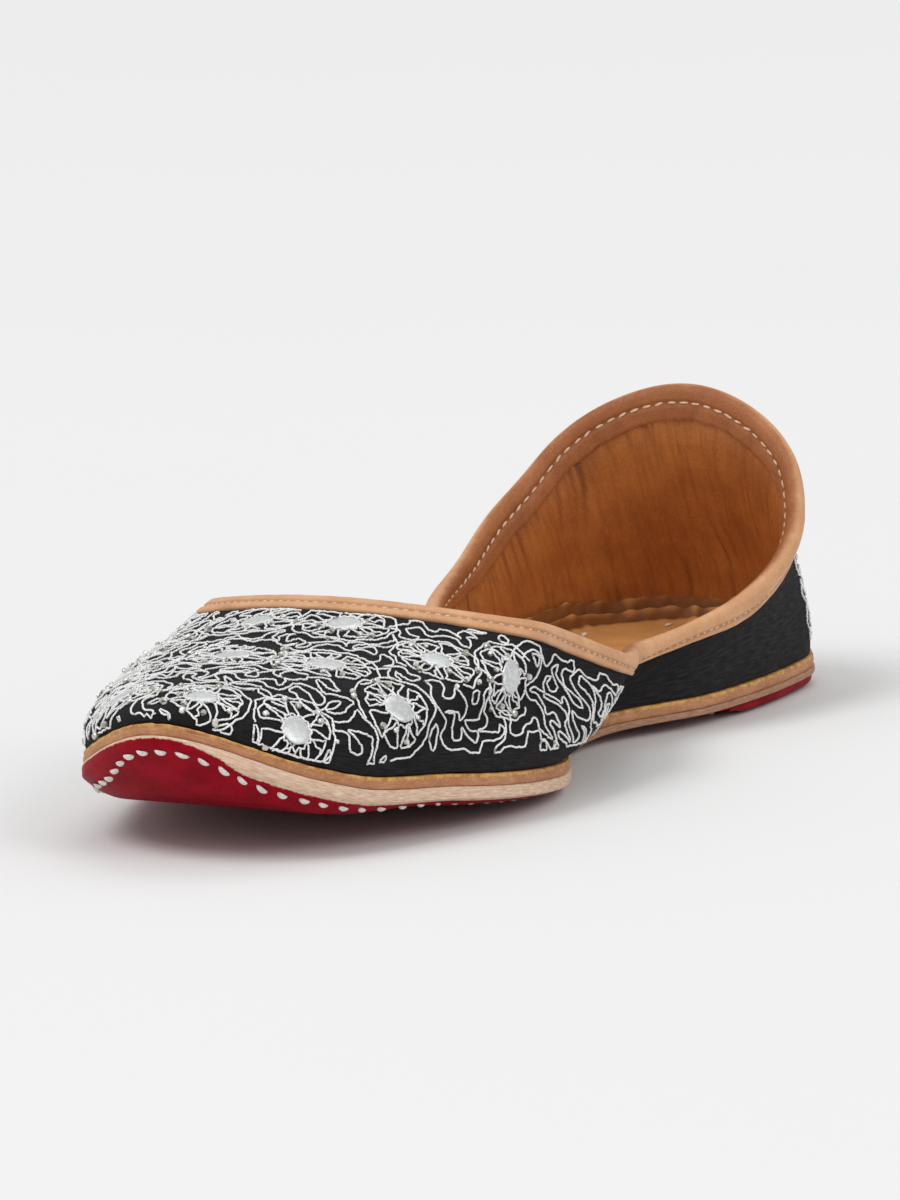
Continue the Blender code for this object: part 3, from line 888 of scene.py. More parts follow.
def make_heel_lift():
    """Thin red heel layer that follows the rim round the heel, feathered at its front."""
    rows, columns = 110, 6
    side = np.linspace(math.acos(1 - 2 * HEEL_START / LENGTH), math.pi, rows + 1)
    angles = np.concatenate([side, 2 * math.pi - side[-2::-1]])
    count = len(angles)
    feather, proud = 0.5 * MM, 0.24 * MM

    def top(y, rise):
        return tread_height(y) - GAP + proud + rim_lift(y) * rise

    def bottom(y, rise):
        full = smoothstep(HEEL_START, HEEL_START + HEEL_SKIVE, station_of(y))
        return top(y, rise) - proud - (feather + (HEEL_LIFT - feather) * full)

    def ring(inset, height, lift=0.0):
        x, y = outline(angles, inset)
        return stack(x, y, height(y, rim_rise(inset)) + lift)

    # each ring, and its place across the layer for the UV, in mm
    table = (
        (ring(RIM_ROUND, top), -8), (ring(0.45 * RIM_ROUND, top), -3.6),
        (ring(HEEL_INSET + 0.2 * MM, top), -0.8), (ring(HEEL_INSET, top, -0.15 * MM), -0.6),
        (ring(HEEL_INSET, bottom, 0.45 * MM), 0.6), (ring(HEEL_INSET + 0.12 * MM, bottom, 0.16 * MM), 1.0),
        (ring(HEEL_INSET + 0.45 * MM, bottom), 1.4), (ring(0.22 * RIM_ROUND, bottom), 2.4),
        (ring(0.45 * RIM_ROUND, bottom), 4), (ring(0.7 * RIM_ROUND, bottom), 6),
        (ring(RIM_ROUND, bottom), 8.6),
    )
    rings, section = [row[0] for row in table], [row[1] for row in table]
    verts = [p for r in rings for p in r]
    faces, uvs = [], []
    u = station_of(rings[4][:, 1]) / MM
    for row in range(len(rings) - 1):
        for i in range(count - 1):
            faces.append(quad(row * count, (row + 1) * count, i, i + 1))
            uvs += quad_uv(u[i], u[i + 1], section[row], section[row + 1])
    fronts = []
    for start in (0, (len(rings) - 1) * count):
        grid = {}
        for k in range(rows):
            grid[k, 0], grid[k, columns] = start + k, start + count - 1 - k
            for c in range(1, columns):
                a, b = verts[grid[k, 0]], verts[grid[k, columns]]
                grid[k, c] = len(verts)
                verts.append(a + (b - a) * c / columns)
        for k in range(rows - 1):
            for c in range(columns):
                faces.append((grid[k, c], grid[k + 1, c], grid[k + 1, c + 1], grid[k, c + 1]))
        for c in range(columns):
            faces.append((grid[rows - 1, c], start + rows, grid[rows - 1, c + 1]))
        fronts.append([grid[0, c] for c in range(columns + 1)])
    near_end = [row * count for row in range(len(rings))]
    far_end = [first + count - 1 for first in near_end]
    faces.append(tuple(fronts[0] + far_end[1:-1] + fronts[1][::-1] + near_end[-2:0:-1]))
    # the faces that close the top, the underside and the front all take one place of the UV
    uvs += [(0, 9)] * (sum(len(face) for face in faces) - len(uvs))
    return finish_mesh("heel_lift_leather", verts, faces, uvs, heel_paint_finish())


def make_insole():
    """Insole whose thin margin curls up the lining in small uneven folds."""
    folds = ripple(sole_angles, (23, 37, 53, 71, 97), 21)
    slow = ripple(sole_angles, (4, 7, 9, 13), 22)
    taller = 0.75 + 1.35 * smoothstep(130, 200, sole_stations)
    thick = INSOLE_THICKNESS / MM
    rings, section, crease = [], [], []
    for row, (inset, height, folded, trough_shade) in enumerate(INSOLE_MARGIN):
        own = ripple(sole_angles, (17, 29, 43, 59, 79), 60 + row // 3)
        lift = (0.40 * folds + 0.50 * slow + 0.40 * own) * folded * taller * MM
        lean = (0.35 * folds + 0.40 * slow + 0.45 * own) * folded * MM
        x, y = outline(sole_angles, INSOLE_INSET + inset * MM)
        x_in, y_in = outline(sole_angles, INSOLE_INSET + inset * MM + MM)
        x, y = x + (x_in - x) / MM * lean, y + (y_in - y) / MM * lean
        rise = np.where(height > thick, thick + (height - thick) * taller, height)
        rings.append(stack(x, y, seat(y) + rise * MM + lift))
        section.append(inset)
        # painted shade: darker where the folds dip and in the troughs of the margin
        dark = (0.30 - 0.7 * folds - 0.5 * own) * folded + trough_shade * (0.75 + 0.5 * slow)
        crease.append(np.clip(dark, 0, 1))
    obj = plate_piece("insole_leather", rings, section, insole_finish(), 14,
                      seat, lambda y: seat(y) + INSOLE_THICKNESS)
    store(obj, "crease", np.concatenate(crease))
    return obj


# ------------------------------------------------------------ cloth, lining and binding

def wall_heights():
    """Length of wall, in mm, from the sole up to the hem of its layers."""
    return (wall_drops[1][:, -1] - HEM) / MM


def drawn_cloth(points):
    """How far the cloth stands off its smooth face: slack places and slubs."""
    return np.array([noise.noise(Vector(p) * 85) * 0.20 + noise.noise(Vector(p) * 240) * 0.08
                     for p in points]) * MM


def make_cloth():
    """Black cloth over the toe, sides and back, a little uneven where it is drawn over the last."""
    rows = 52
    face = []
    for row_share in np.arange(rows + 1) / rows:
        ring = wall_ring(HEM, 0.0, float(row_share))
        if 0 < row_share < 1:
            normal = wall_normal(wall_angles, row_share * share_at_drop(HEM))
            fade = float(smoothstep(0, 0.08, row_share) * smoothstep(1.0, 0.92, row_share))
            ring = ring + normal * (drawn_cloth(ring) * fade)[:, None]
        face.append(ring)
    back = [wall_ring(HEM, CLOTH_THICKNESS, s) for s in (1.0, 0.85, 0.7, 0.55, 0.4, 0.28, 0.16, 0.08, 0.0)]
    return wall_layer("upper_cloth", face, back, float(np.max(wall_heights())), cloth_finish())


def scattered(dice, period, gaps, draw):
    """Creases strewn round a ring: (middle, half width, depth), with the last two drawn for each."""
    table, at = [], 0.0
    while at < period - 2:
        table.append((at, *draw()))
        at += dice.uniform(*gaps)
    return table


def soft_troughs(places, period, table):
    """Depth at each place of a row of creases."""
    total = np.zeros_like(places)
    for middle, half, depth in table:
        gap = (places - middle + period / 2) % period - period / 2
        total += depth * np.exp(-(gap / half) ** 2)
    return total


def inner_edge():
    """Places along the lower edge of the binding's inner leaf and its whole length, in mm."""
    run = run_round(wall_ring(BINDING_INSIDE, UPPER_WALL))
    return run[:-1], run[-1]


def make_lining():
    """Brown lining with fine upright creases, gathered where the binding is sewn over it."""
    rows = 40
    places, period = inner_edge()
    dice = random.Random(77)
    tall = scattered(dice, period, (1.9, 5.2), lambda: (
        dice.uniform(0.30, 0.75), dice.uniform(0.06, 0.30) * (1.8 if dice.random() < 0.2 else 1.0)))
    short = scattered(dice, period, (2.2, 6.0), lambda: (dice.uniform(0.3, 0.6), dice.uniform(0.08, 0.28)))
    long_creases = soft_troughs(places, period, tall)
    puckers = soft_troughs(places, period, short)
    heights = wall_heights()
    face, crease = [], []
    for row_share in np.arange(rows + 1) / rows:
        up = row_share * heights
        below = heights - up - (BINDING_INSIDE - HEM) / MM
        near_binding = np.exp(-np.maximum(below, 0) / 4.0) * (below > -2.0)
        near_sole = np.exp(-up / 3.0)
        slide = 1.4 * np.sin(up * 0.23 + places * 0.05)
        creases = np.interp((places + slide) % period, places, long_creases, period=period)
        fading = (0.55 + 0.45 * np.sin(up * 0.16 + places * 0.11)) * (1 - 0.6 * near_sole)
        depth = creases * fading + puckers * near_binding
        stands_off = 0.05 if row_share == 0.0 else 0.16 - depth * 0.75
        face.append(wall_ring(HEM, UPPER_WALL + stands_off * MM, float(row_share)))
        # the crease depth also darkens the finish, as painted shade in the creases
        crease.append(np.clip(depth * 2.4, 0, 1))
    back = [wall_ring(HEM, CLOTH_THICKNESS + 0.02 * MM, s) for s in (1.0, 0.75, 0.5, 0.25, 0.1, 0.0)]
    obj = wall_layer("lining_leather", face, back, float(np.mean(heights)), lining_finish())
    store(obj, "crease", np.concatenate(crease))
    return obj


def binding_section():
    """(drop, offset, leaf): up the outside, over the fold, down the inside and back; leaf is 1 inside."""
    half, middle = (UPPER_WALL + 2 * LEAF) / 2, UPPER_WALL / 2

    def groove(drop, line, width):
        return 0.30 * MM * math.exp(-((drop - line) / width) ** 2)

    points = [(BINDING_OUTSIDE - 0.05 * MM, -0.04 * MM, 0), (BINDING_OUTSIDE, -0.45 * LEAF, 0),
              (BINDING_OUTSIDE - 0.12 * MM, -0.82 * LEAF, 0)]
    for drop in np.linspace(BINDING_OUTSIDE - 0.45 * MM, CROWN + 0.25 * MM, 15):
        swell = 0.10 * MM * math.sin(math.pi * (drop - CROWN) / (BINDING_OUTSIDE - CROWN))
        points.append((drop, -LEAF + groove(drop, OUTSIDE_STITCH, 0.42 * MM) - swell, 0))
    for t in np.linspace(0, math.pi, 15):
        points.append((CROWN * (1 - math.sin(t)), middle - half * math.cos(t), t / math.pi))
    for drop in np.linspace(CROWN + 0.3 * MM, BINDING_INSIDE - 0.5 * MM, 19):
        points.append((drop, UPPER_WALL + LEAF - groove(drop, INSIDE_STITCH, 0.45 * MM), 1))
    return points + [
        (BINDING_INSIDE - 0.1 * MM, UPPER_WALL + 0.85 * LEAF, 1),
        (BINDING_INSIDE, UPPER_WALL + 0.5 * LEAF, 1),
        (BINDING_INSIDE - 0.05 * MM, UPPER_WALL - 0.05 * MM, 1),
        (0.5 * BINDING_INSIDE, UPPER_WALL + 0.5 * GAP, 1), (1.4 * MM, UPPER_WALL + 0.3 * GAP, 1),
        (1.4 * MM, -0.3 * GAP, 0), (0.5 * BINDING_OUTSIDE, -0.3 * GAP, 0),
    ]


def gathers():
    """Depth, in mm, of the pleats where the inner leaf is drawn in round the back and the throat."""
    places, period = inner_edge()
    dice = random.Random(88)
    table = scattered(dice, period, (3.0, 8.0), lambda: (dice.uniform(0.35, 0.8), dice.uniform(0.15, 0.55)))
    ends = 0.25 + 0.75 * np.abs(np.cos(wall_angles)) ** 6
    return soft_troughs(places, period, table) * ends


def make_binding():
    """The strip folded over the raw edge: slack between its stitches, pleated inside, cut unevenly."""
    waver = ripple(wall_angles, (9, 15, 22, 34, 51), 31)
    fine = ripple(wall_angles, (44, 63, 90, 121), 32)
    lower = ripple(wall_angles, (6, 13, 21, 40, 58), 33)
    slack = (0.07 * waver + 0.05 * fine) * MM
    pleats = gathers()
    rings, edges, leaves, seams = [], [], [], []
    points = binding_section()
    for i, (drop, offset, leaf) in enumerate(points):
        outside, inside = leaf < 0.25 and offset < -0.1 * MM, leaf > 0.75 and offset > UPPER_WALL
        pleat = pleats * MM * float(smoothstep(INSIDE_STITCH - 0.5 * MM, BINDING_INSIDE - 1.2 * MM, drop))
        if outside:
            offset_here = offset - slack
        elif inside:
            offset_here = offset + slack - pleat
        else:
            offset_here = offset
        reach = 0.0
        if drop > BINDING_OUTSIDE - 0.6 * MM:
            reach = lower * (0.22 if leaf < 0.5 else 0.45) * MM
        drop_here = np.maximum(drop + reach + 0.05 * MM * waver * (drop > 0.6 * MM), 0.0)
        rings.append(wall_ring(drop_here, offset_here))
        edges.append(1.0 if i < 2 or (leaf == 1 and BINDING_INSIDE - drop < 0.08 * MM) else 0.0)
        leaves.append(leaf)
        line = OUTSIDE_STITCH if leaf == 0 else INSIDE_STITCH
        seams.append(math.exp(-((drop - line) / (0.5 * MM)) ** 2) if outside or inside else 0.0)
    rings = np.array(rings)
    section = list(run_along(np.array(points)[:, :2]) / MM)
    faces, uvs = sleeve(rings, section + [section[-1] + 1.0], True)
    obj = finish_mesh("topline_binding_leather", rings.reshape(-1, 3), faces, uvs, binding_finish(), 50)
    # inner_leaf marks the inside leaf, which the finish colours with painted shade
    for name, values in (("cut_edge", edges), ("inner_leaf", leaves), ("seam", seams)):
        store(obj, name, np.repeat(values, WALL_AROUND))
    return obj


# ------------------------------------------------------------ the charted faces that carry thread

# Station, in mm, where the vamp's chart ends
VAMP_END = 130.0


class Chart:
    """A flat sheet of millimetres laid over part of the wall: place and normal at any (s, t)."""

    def __init__(self, s_values, t_values, points, facing_out=1):
        self.s_start, self.s_step = s_values[0], s_values[1] - s_values[0]
        self.t_start, self.t_step = t_values[0], t_values[1] - t_values[0]
        self.points = points
        n = np.cross(np.gradient(points, axis=1), np.gradient(points, axis=0)) * facing_out
        self.normals = n / np.maximum(np.linalg.norm(n, axis=2, keepdims=True), 1e-12)

    def fence(self, foot_margin, top_margin, ends):
        """Keeps the work a margin off the rand, off the binding and inside the field's ends, in mm."""
        up = self.points[..., 2] - seat(self.points[..., 1])
        rim = wall(around(260), 1.0)
        off = np.array([np.min(np.linalg.norm(row[:, None] - rim, axis=2), axis=1) for row in self.points])
        s = self.s_start + self.s_step * np.arange(self.points.shape[0])[:, None]
        room = np.minimum(up / MM - foot_margin(s), off / MM - top_margin)
        self.room = np.minimum(room, ends(s))[..., None]
        return self

    def read(self, grid, places):
        """A grid of values between its points."""
        places = np.asarray(places, float)
        a = np.clip((places[:, 0] - self.s_start) / self.s_step, 0, grid.shape[0] - 1.001)
        b = np.clip((places[:, 1] - self.t_start) / self.t_step, 0, grid.shape[1] - 1.001)
        i, j = a.astype(int), b.astype(int)
        a, b = (a - i)[:, None], (b - j)[:, None]
        return (grid[i, j] * (1 - a) * (1 - b) + grid[i + 1, j] * a * (1 - b)
                + grid[i, j + 1] * (1 - a) * b + grid[i + 1, j + 1] * a * b)

    def inside(self, at):
        """Room to the fence at a place, in mm; below zero it is past it."""
        return self.read(self.room, [at])[0, 0]

    def keep_in(self, line):
        """Pushes the points that stray past the fence straight back to it."""
        line = np.array(line, float)
        for _ in range(6):
            room = self.read(self.room, line)[:, 0]
            slope = np.stack([(self.read(self.room, line + move) - self.read(self.room, line - move))[:, 0]
                              for move in ((0.5, 0.0), (0.0, 0.5))], axis=1)
            steep = np.maximum((slope ** 2).sum(axis=1), 0.15)
            line += slope / steep[:, None] * np.clip(-room, 0, 2.5)[:, None]
        return line

    def stretch(self, at):
        """Real millimetres for one step of s and for one of t."""
        ends = [self.read(self.points, [np.add(at, move), np.subtract(at, move)])
                for move in ((1.0, 0.0), (0.0, 1.0))]
        return [np.linalg.norm(ahead - behind) / 2 / MM for ahead, behind in ends]

    def normal(self, places):
        n = self.read(self.normals, places)
        return n / np.maximum(np.linalg.norm(n, axis=1, keepdims=True), 1e-12)

    def place(self, places, lift):
        """Points at a lift in mm above the cloth, slack places and all."""
        points = self.read(self.points, places)
        rise = np.broadcast_to(lift, (len(places),)) * MM + drawn_cloth(points)
        return points + self.normal(places) * rise[:, None]


def vamp_chart():
    """s is the station, t the arc across from the ridge, towards +X."""
    angles, v = np.linspace(0, 1.75, 330), np.linspace(0, 1, 260)
    grid = wall(angles[:, None], v[None, :]) / MM
    stations = grid[..., 1] + LENGTH / MM / 2
    s_values = np.arange(1.0, VAMP_END + 0.1, 0.5)
    t_values = np.arange(-64.0, 64.1, 0.5)
    half = len(t_values) // 2
    points = np.zeros((len(s_values), len(t_values), 3))
    for row, station in enumerate(s_values):
        # one cross section, from the sole up to the ridge or to the topline
        line = [on_line(station, stations[:, 0], grid[:, 0])]
        for column in range(len(angles) - 1, -1, -1):
            along = stations[column]
            if along[0] <= station <= along[-1]:
                line.append(part_way(grid[column], np.interp(station, along, v) * (len(v) - 1)))
        if station > THROAT[0]:
            line.append(on_line(station, stations[:, -1], grid[:, -1]))
        line = np.array(line)
        run = run_along(line)
        if station <= THROAT[0]:
            ridge_length = run[-1]
        height = ridge_length - t_values[half:]
        side = on_line(height, run, line)
        low = height < 0
        side[low] += np.outer(height[low], (0, 0, 1))
        points[row, half:] = side
        points[row, :half + 1] = side[::-1] * (-1, 1, 1)
    return Chart(s_values, t_values, points * MM).fence(
        lambda s: 0.9 + 2.7 * smoothstep(14, 44, s), 6.5, lambda s: VAMP_END - 2 - s)


def heel_chart():
    """s is the arc round the back at mid height, towards -X, t the height up the wall."""
    angles, v = np.linspace(math.pi - 1.3, math.pi + 1.3, 201), np.linspace(0, 1, 120)
    grid = wall(angles[:, None], v[None, :])
    run = run_along(grid[:, 50]) / MM
    run -= np.interp(math.pi, angles, run)
    s_values, t_values = np.arange(-41.0, 41.1, 1.0), np.arange(0.0, 56.1, 1.0)
    points = np.zeros((len(s_values), len(t_values), 3))
    for row, place in enumerate(s_values):
        line = part_way(grid, np.interp(place, run, np.arange(len(angles))))
        points[row] = on_line(t_values, run_along(line) / MM, line)
    return Chart(s_values, t_values, points, -1).fence(lambda s: 3.0 + 0 * s, 7.0, lambda s: 36.0 - abs(s))


# ------------------------------------------------------------ the embroidery's drawing

# Each flower: place along and across the vamp, radius, in mm
FLOWERS = (
    (9, 4.5, 7.6), (15, 22, 8.0), (38.5, 31, 8.4), (42, 13, 8.8), (42, -6, 8.5), (65.5, 5.5, 8.6),
    (66, -13, 8.4), (60.5, 27, 7.8), (72, 39, 7.4), (36, -25, 8.4), (59, -31, 8.2), (81, -35, 7.6),
    (13, -14, 7.8), (74, -49, 7.0),
)
MIRROR_RADIUS, USUAL_RADIUS = 3.2, 8.4
THREAD_THICKNESS, THREAD_UNEVENNESS, THREAD_SIDES = 0.41 * MM, 0.5, 6

# A petal from foot to foot, its vein and where it may hold beads: share of its reach, share of its turn
PETAL = ((0.55, -0.20), (0.80, -0.33), (0.96, -0.38), (1.0, -0.10),
         (0.95, 0.16), (0.94, 0.38), (0.76, 0.31), (0.56, 0.17))
VEIN = ((0.42, 0.02), (0.58, -0.09), (0.74, 0.06), (0.88, -0.06), (0.96, 0.05))
PETAL_BEADS = ((0.60, 0.02), (0.79, 0.15), (0.81, -0.15))

# Share by which a line is drawn straight between its points: one with free ends, and a closed one
CORNER_FREE, CORNER_CLOSED = 0.42, 0.15

# Each fill: cells along s and t, their pitch and where the grid starts, in mm, and how many cells
# a loop goes round, at least and at most
VAMP_FILL = (30, 32), (4.3, 3.7), (0.3, -16 * 3.7), (12, 46)
GAP_FILL = (42, 38), (3.0, 3.0), (0.4, -19 * 3.0), (2, 9)
HEEL_FILL = (18, 13), (4.4, 3.9), (-39.6, 2.0), (14, 50)

# Steps from a cell of the fill to the next: those along t stand three times, so they are likelier
STEPS = ((1, 0), (-1, 0)) + 3 * ((0, 1), (0, -1))


def rounded(points, closed, spacing):
    """A smooth line through given points, cut into even steps."""
    p = np.asarray(points, float)
    n = len(p)
    corner = CORNER_CLOSED if closed else CORNER_FREE
    fine = []
    for i in range(n if closed else n - 1):
        if closed:
            a, b, c, d = p[(i - 1) % n], p[i], p[(i + 1) % n], p[(i + 2) % n]
        else:
            a, b, c, d = p[max(i - 1, 0)], p[i], p[i + 1], p[min(i + 2, n - 1)]
        for t in np.arange(8) / 8:
            bent = 0.5 * (2 * b + (c - a) * t + (2 * a - 5 * b + 4 * c - d) * t * t
                          + (3 * b - a - 3 * c + d) * t ** 3)
            fine.append(bent + (b + (c - b) * t - bent) * corner)
    fine.append(fine[0] if closed else p[-1])
    fine = np.array(fine)
    run = run_along(fine)
    count = max(int(run[-1] / spacing), 4)
    line = on_line(np.linspace(0, run[-1], count + 1), run, fine)
    return line[:-1] if closed else line


class Stitchery:
    """Threads, beads and mirrors as they are drawn, before Geometry Nodes give them their bodies."""

    def __init__(self, dice):
        self.dice = dice
        self.lines, self.beads, self.mirrors, self.drawn = [], [], [], []

    def thread(self, chart, points, closed, spacing, lift, wave):
        """A thread couched along a line, unsteady in its place and in its lift, in mm."""
        line = chart.keep_in(rounded(points, closed, spacing))
        self.drawn += [(s, t, 0.0) for s, t in line]
        line = line + np.array([[self.dice.gauss(0, 0.055), self.dice.gauss(0, 0.055)] for _ in line])
        rise = np.array([self.dice.uniform(-wave, wave) for _ in line])
        self.lines.append((chart.place(line, lift + rise), closed))

    def piece(self, group, chart, at, turn, lift, size):
        """A bead or mirror: its place, the way it points, the way it faces and its three sizes."""
        at = np.array([at])
        here = chart.place(at, lift)[0]
        ahead = chart.place(at + np.array([(math.cos(turn), math.sin(turn))]) * 0.2, lift)[0]
        group.append((here, ahead - here, chart.normal(at)[0], (size * MM,) * 3))


def flower(work, chart, s0, t0, radius):
    """Mirror held by a thread rim, petals looped round it in a ragged ring, beads sewn between."""
    dice = work.dice
    mirror = MIRROR_RADIUS * dice.uniform(0.94, 1.05) * (radius / USUAL_RADIUS) ** 0.6
    along, across = chart.stretch((s0, t0))
    squash = dice.uniform(0.84, 0.92) + 0.10 * float(smoothstep(16, 30, abs(t0)))
    petals = dice.choice((7, 8, 8, 9))
    phase = dice.uniform(0, 2 * math.pi)

    def polar(r, angle):
        return s0 + r * math.cos(angle) * squash / along ** 0.4, t0 + r * math.sin(angle) / squash / across

    def bead(r, angle, small, large):
        at = polar(r, angle)
        if chart.inside(at) > -0.2:
            spin = dice.uniform(0, 6.28)
            work.piece(work.beads, chart, at, spin, 0.40, dice.uniform(small, large))

    work.piece(work.mirrors, chart, (s0, t0), phase, 0.15, mirror)
    grips = 24
    rim = [polar(mirror + (0.45 if i % 2 else -0.22) + dice.uniform(-0.12, 0.12),
                 phase + 2 * math.pi * i / grips) for i in range(grips)]
    work.thread(chart, rim, True, 0.6, 0.5, 0.14)
    for k in range(petals):
        middle = phase + 2 * math.pi * (k + dice.uniform(-0.1, 0.1)) / petals
        wide = 8.0 / petals * dice.uniform(0.84, 1.02)
        reach = radius * dice.uniform(0.84, 1.0)
        foot = mirror + 0.05
        shape = [(foot, -0.12)] + [(r * reach, a) for r, a in PETAL] + [(foot, 0.10)]
        petal = [polar(r + dice.uniform(-0.28, 0.28), middle + wide * (a + dice.uniform(-0.04, 0.04)))
                 for r, a in shape]
        work.thread(chart, petal, False, 0.66, 0.28, 0.12)
        if dice.random() < 0.5:
            side = dice.uniform(-0.1, 0.1)
            vein = [polar(r * reach, middle + wide * (a + side)) for r, a in VEIN]
            work.thread(chart, vein, False, 0.66, 0.28, 0.10)
        for r, a in dice.sample(PETAL_BEADS, dice.choice((0, 1, 1))):
            bead(r * reach, middle + wide * a, 0.56, 0.70)
        if dice.random() < 0.5:
            bead(radius * dice.uniform(0.90, 1.02), middle + math.pi / petals, 0.62, 0.80)
    turn, length, step = dice.uniform(0, 6.28), dice.uniform(4.3, 5.9), 0.24
    ring = [polar(radius * (1.07 + 0.045 * math.sin(2.4 * i)) + dice.uniform(-0.22, 0.22), turn + step * i)
            for i in range(int(length / step))]
    work.thread(chart, ring, False, 0.68, 0.3, 0.12)
    for _ in range(dice.choice((1, 2, 2))):
        bead(radius * 1.12, turn + dice.uniform(0, length), 0.5, 0.66)


def fill(work, chart, allowed, size, pitch, origin, reach):
    """Closed wandering threads that fill a field and never cross: outlines of random trees on a grid."""
    dice = work.dice
    left = {(i, j) for i in range(size[0]) for j in range(size[1])
            if allowed((origin[0] + (i + 0.5) * pitch[0], origin[1] + (j + 0.5) * pitch[1]))}
    joined, loops = set(), []
    while left:
        start = dice.choice(sorted(left))
        left.discard(start)
        tree, front = [start], [start]
        limit = dice.randint(*reach)
        while front and len(tree) < limit:
            here = front[-1] if dice.random() < 0.6 else dice.choice(front)
            steps = [(here[0] + dx, here[1] + dy) for dx, dy in STEPS if (here[0] + dx, here[1] + dy) in left]
            if not steps:
                front.remove(here)
                continue
            there = dice.choice(steps)
            left.discard(there)
            tree.append(there)
            front.append(there)
            joined.update([(here, there), (there, here)])
        loops.append(trace(tree, joined))
    loops = [[swayed(x / 2, y / 2, pitch, origin, dice) for x, y in loop] for loop in loops]
    for loop in loops:
        work.thread(chart, loop, True, 0.68, 0.24, 0.10)


def swayed(row, column, pitch, origin, dice):
    """A grid place carried off its row and column, so the loops wander and no line runs square."""
    s = origin[0] + pitch[0] * (row + 0.30 * math.sin(math.pi * column))
    t = origin[1] + pitch[1] * (column + 0.24 * math.sin(math.pi * row + 1.0))
    drift = [2.1 * noise.noise(Vector((s, t, layer)) / 8.0) + 0.9 * noise.noise(Vector((s, t, layer)) / 3.0)
             for layer in (7.0, 55.0)]
    return s + drift[0] + dice.uniform(-0.35, 0.35), t + drift[1] + dice.uniform(-0.35, 0.35)


def trace(tree, joined):
    """Walks once round a tree of cells, keeping a quarter cell off its branches."""
    # corner points of each cell sit at its quarter marks; go round every cell anticlockwise
    corners = {"sw": (0.5, 0.5), "se": (1.5, 0.5), "ne": (1.5, 1.5), "nw": (0.5, 1.5)}
    # a side: its two corners, the step across it and the corner that a joined side leads to
    sides = (("sw", "se", 0, -1, "nw"), ("se", "ne", 1, 0, "sw"),
             ("ne", "nw", 0, 1, "se"), ("nw", "sw", -1, 0, "ne"))

    def corner(cell, name):
        return 2 * cell[0] + corners[name][0], 2 * cell[1] + corners[name][1]

    edges = {}
    for cell in tree:
        for first, second, dx, dy, far in sides:
            there = (cell[0] + dx, cell[1] + dy)
            leads_to = corner(there, far) if (cell, there) in joined else corner(cell, second)
            edges[corner(cell, first)] = leads_to
    start = min(edges)
    loop, here = [start], edges[start]
    while here != start:
        loop.append(here)
        here = edges[here]
    return loop


def embroider(vamp, heel):
    """Flowers, the fill between them, the small gaps that it leaves, and the panel round the back."""
    work = Stitchery(random.Random(2041))
    for s0, t0, radius in FLOWERS:
        flower(work, vamp, s0, t0, radius)

    def between_flowers(at):
        if vamp.inside(at) < 0.2:
            return False
        for s0, t0, radius in FLOWERS:
            along, across = vamp.stretch((s0, t0))
            if math.hypot((at[0] - s0) * along, (at[1] - t0) * across) < radius * 1.05 + 0.9:
                return False
        return True

    fill(work, vamp, between_flowers, *VAMP_FILL)
    drawn = kdtree.KDTree(len(work.drawn))
    for index, at in enumerate(work.drawn):
        drawn.insert(at, index)
    drawn.balance()

    def still_bare(at):
        near_toe = 1 - float(smoothstep(12, 26, at[0]))
        return vamp.inside(at) > -0.6 and drawn.find((at[0], at[1], 0.0))[2] > 1.6 - 0.5 * near_toe

    fill(work, vamp, still_bare, *GAP_FILL)
    fill(work, heel, lambda at: heel.inside(at) > 0.9, *HEEL_FILL)
    return work


# ------------------------------------------------------------ node trees for threads and small pieces

def geometry_tree(name, inputs):
    tree = bpy.data.node_groups.new(name, "GeometryNodeTree")
    tree.is_modifier = True
    tree.interface.new_socket("Geometry", in_out="INPUT", socket_type="NodeSocketGeometry")
    for label, kind in inputs:
        tree.interface.new_socket(label, in_out="INPUT", socket_type=kind)
    tree.interface.new_socket("Geometry", in_out="OUTPUT", socket_type="NodeSocketGeometry")
    return tree, node(tree, "NodeGroupInput").outputs, node(tree, "NodeGroupOutput").inputs


def named(tree, geometry, name, value):
    return node(tree, "GeometryNodeStoreNamedAttribute", {"Geometry": geometry, "Name": name, "Value": value},
                data_type="FLOAT", domain="POINT").outputs[0]


def closing(tree, geometry, finish, out):
    smooth = node(tree, "GeometryNodeSetShadeSmooth", {"Geometry": geometry}).outputs[0]
    real = node(tree, "GeometryNodeRealizeInstances", {"Geometry": smooth}).outputs[0]
    done = node(tree, "GeometryNodeSetMaterial", {"Geometry": real, "Material": finish}).outputs[0]
    tree.links.new(done, out["Geometry"])


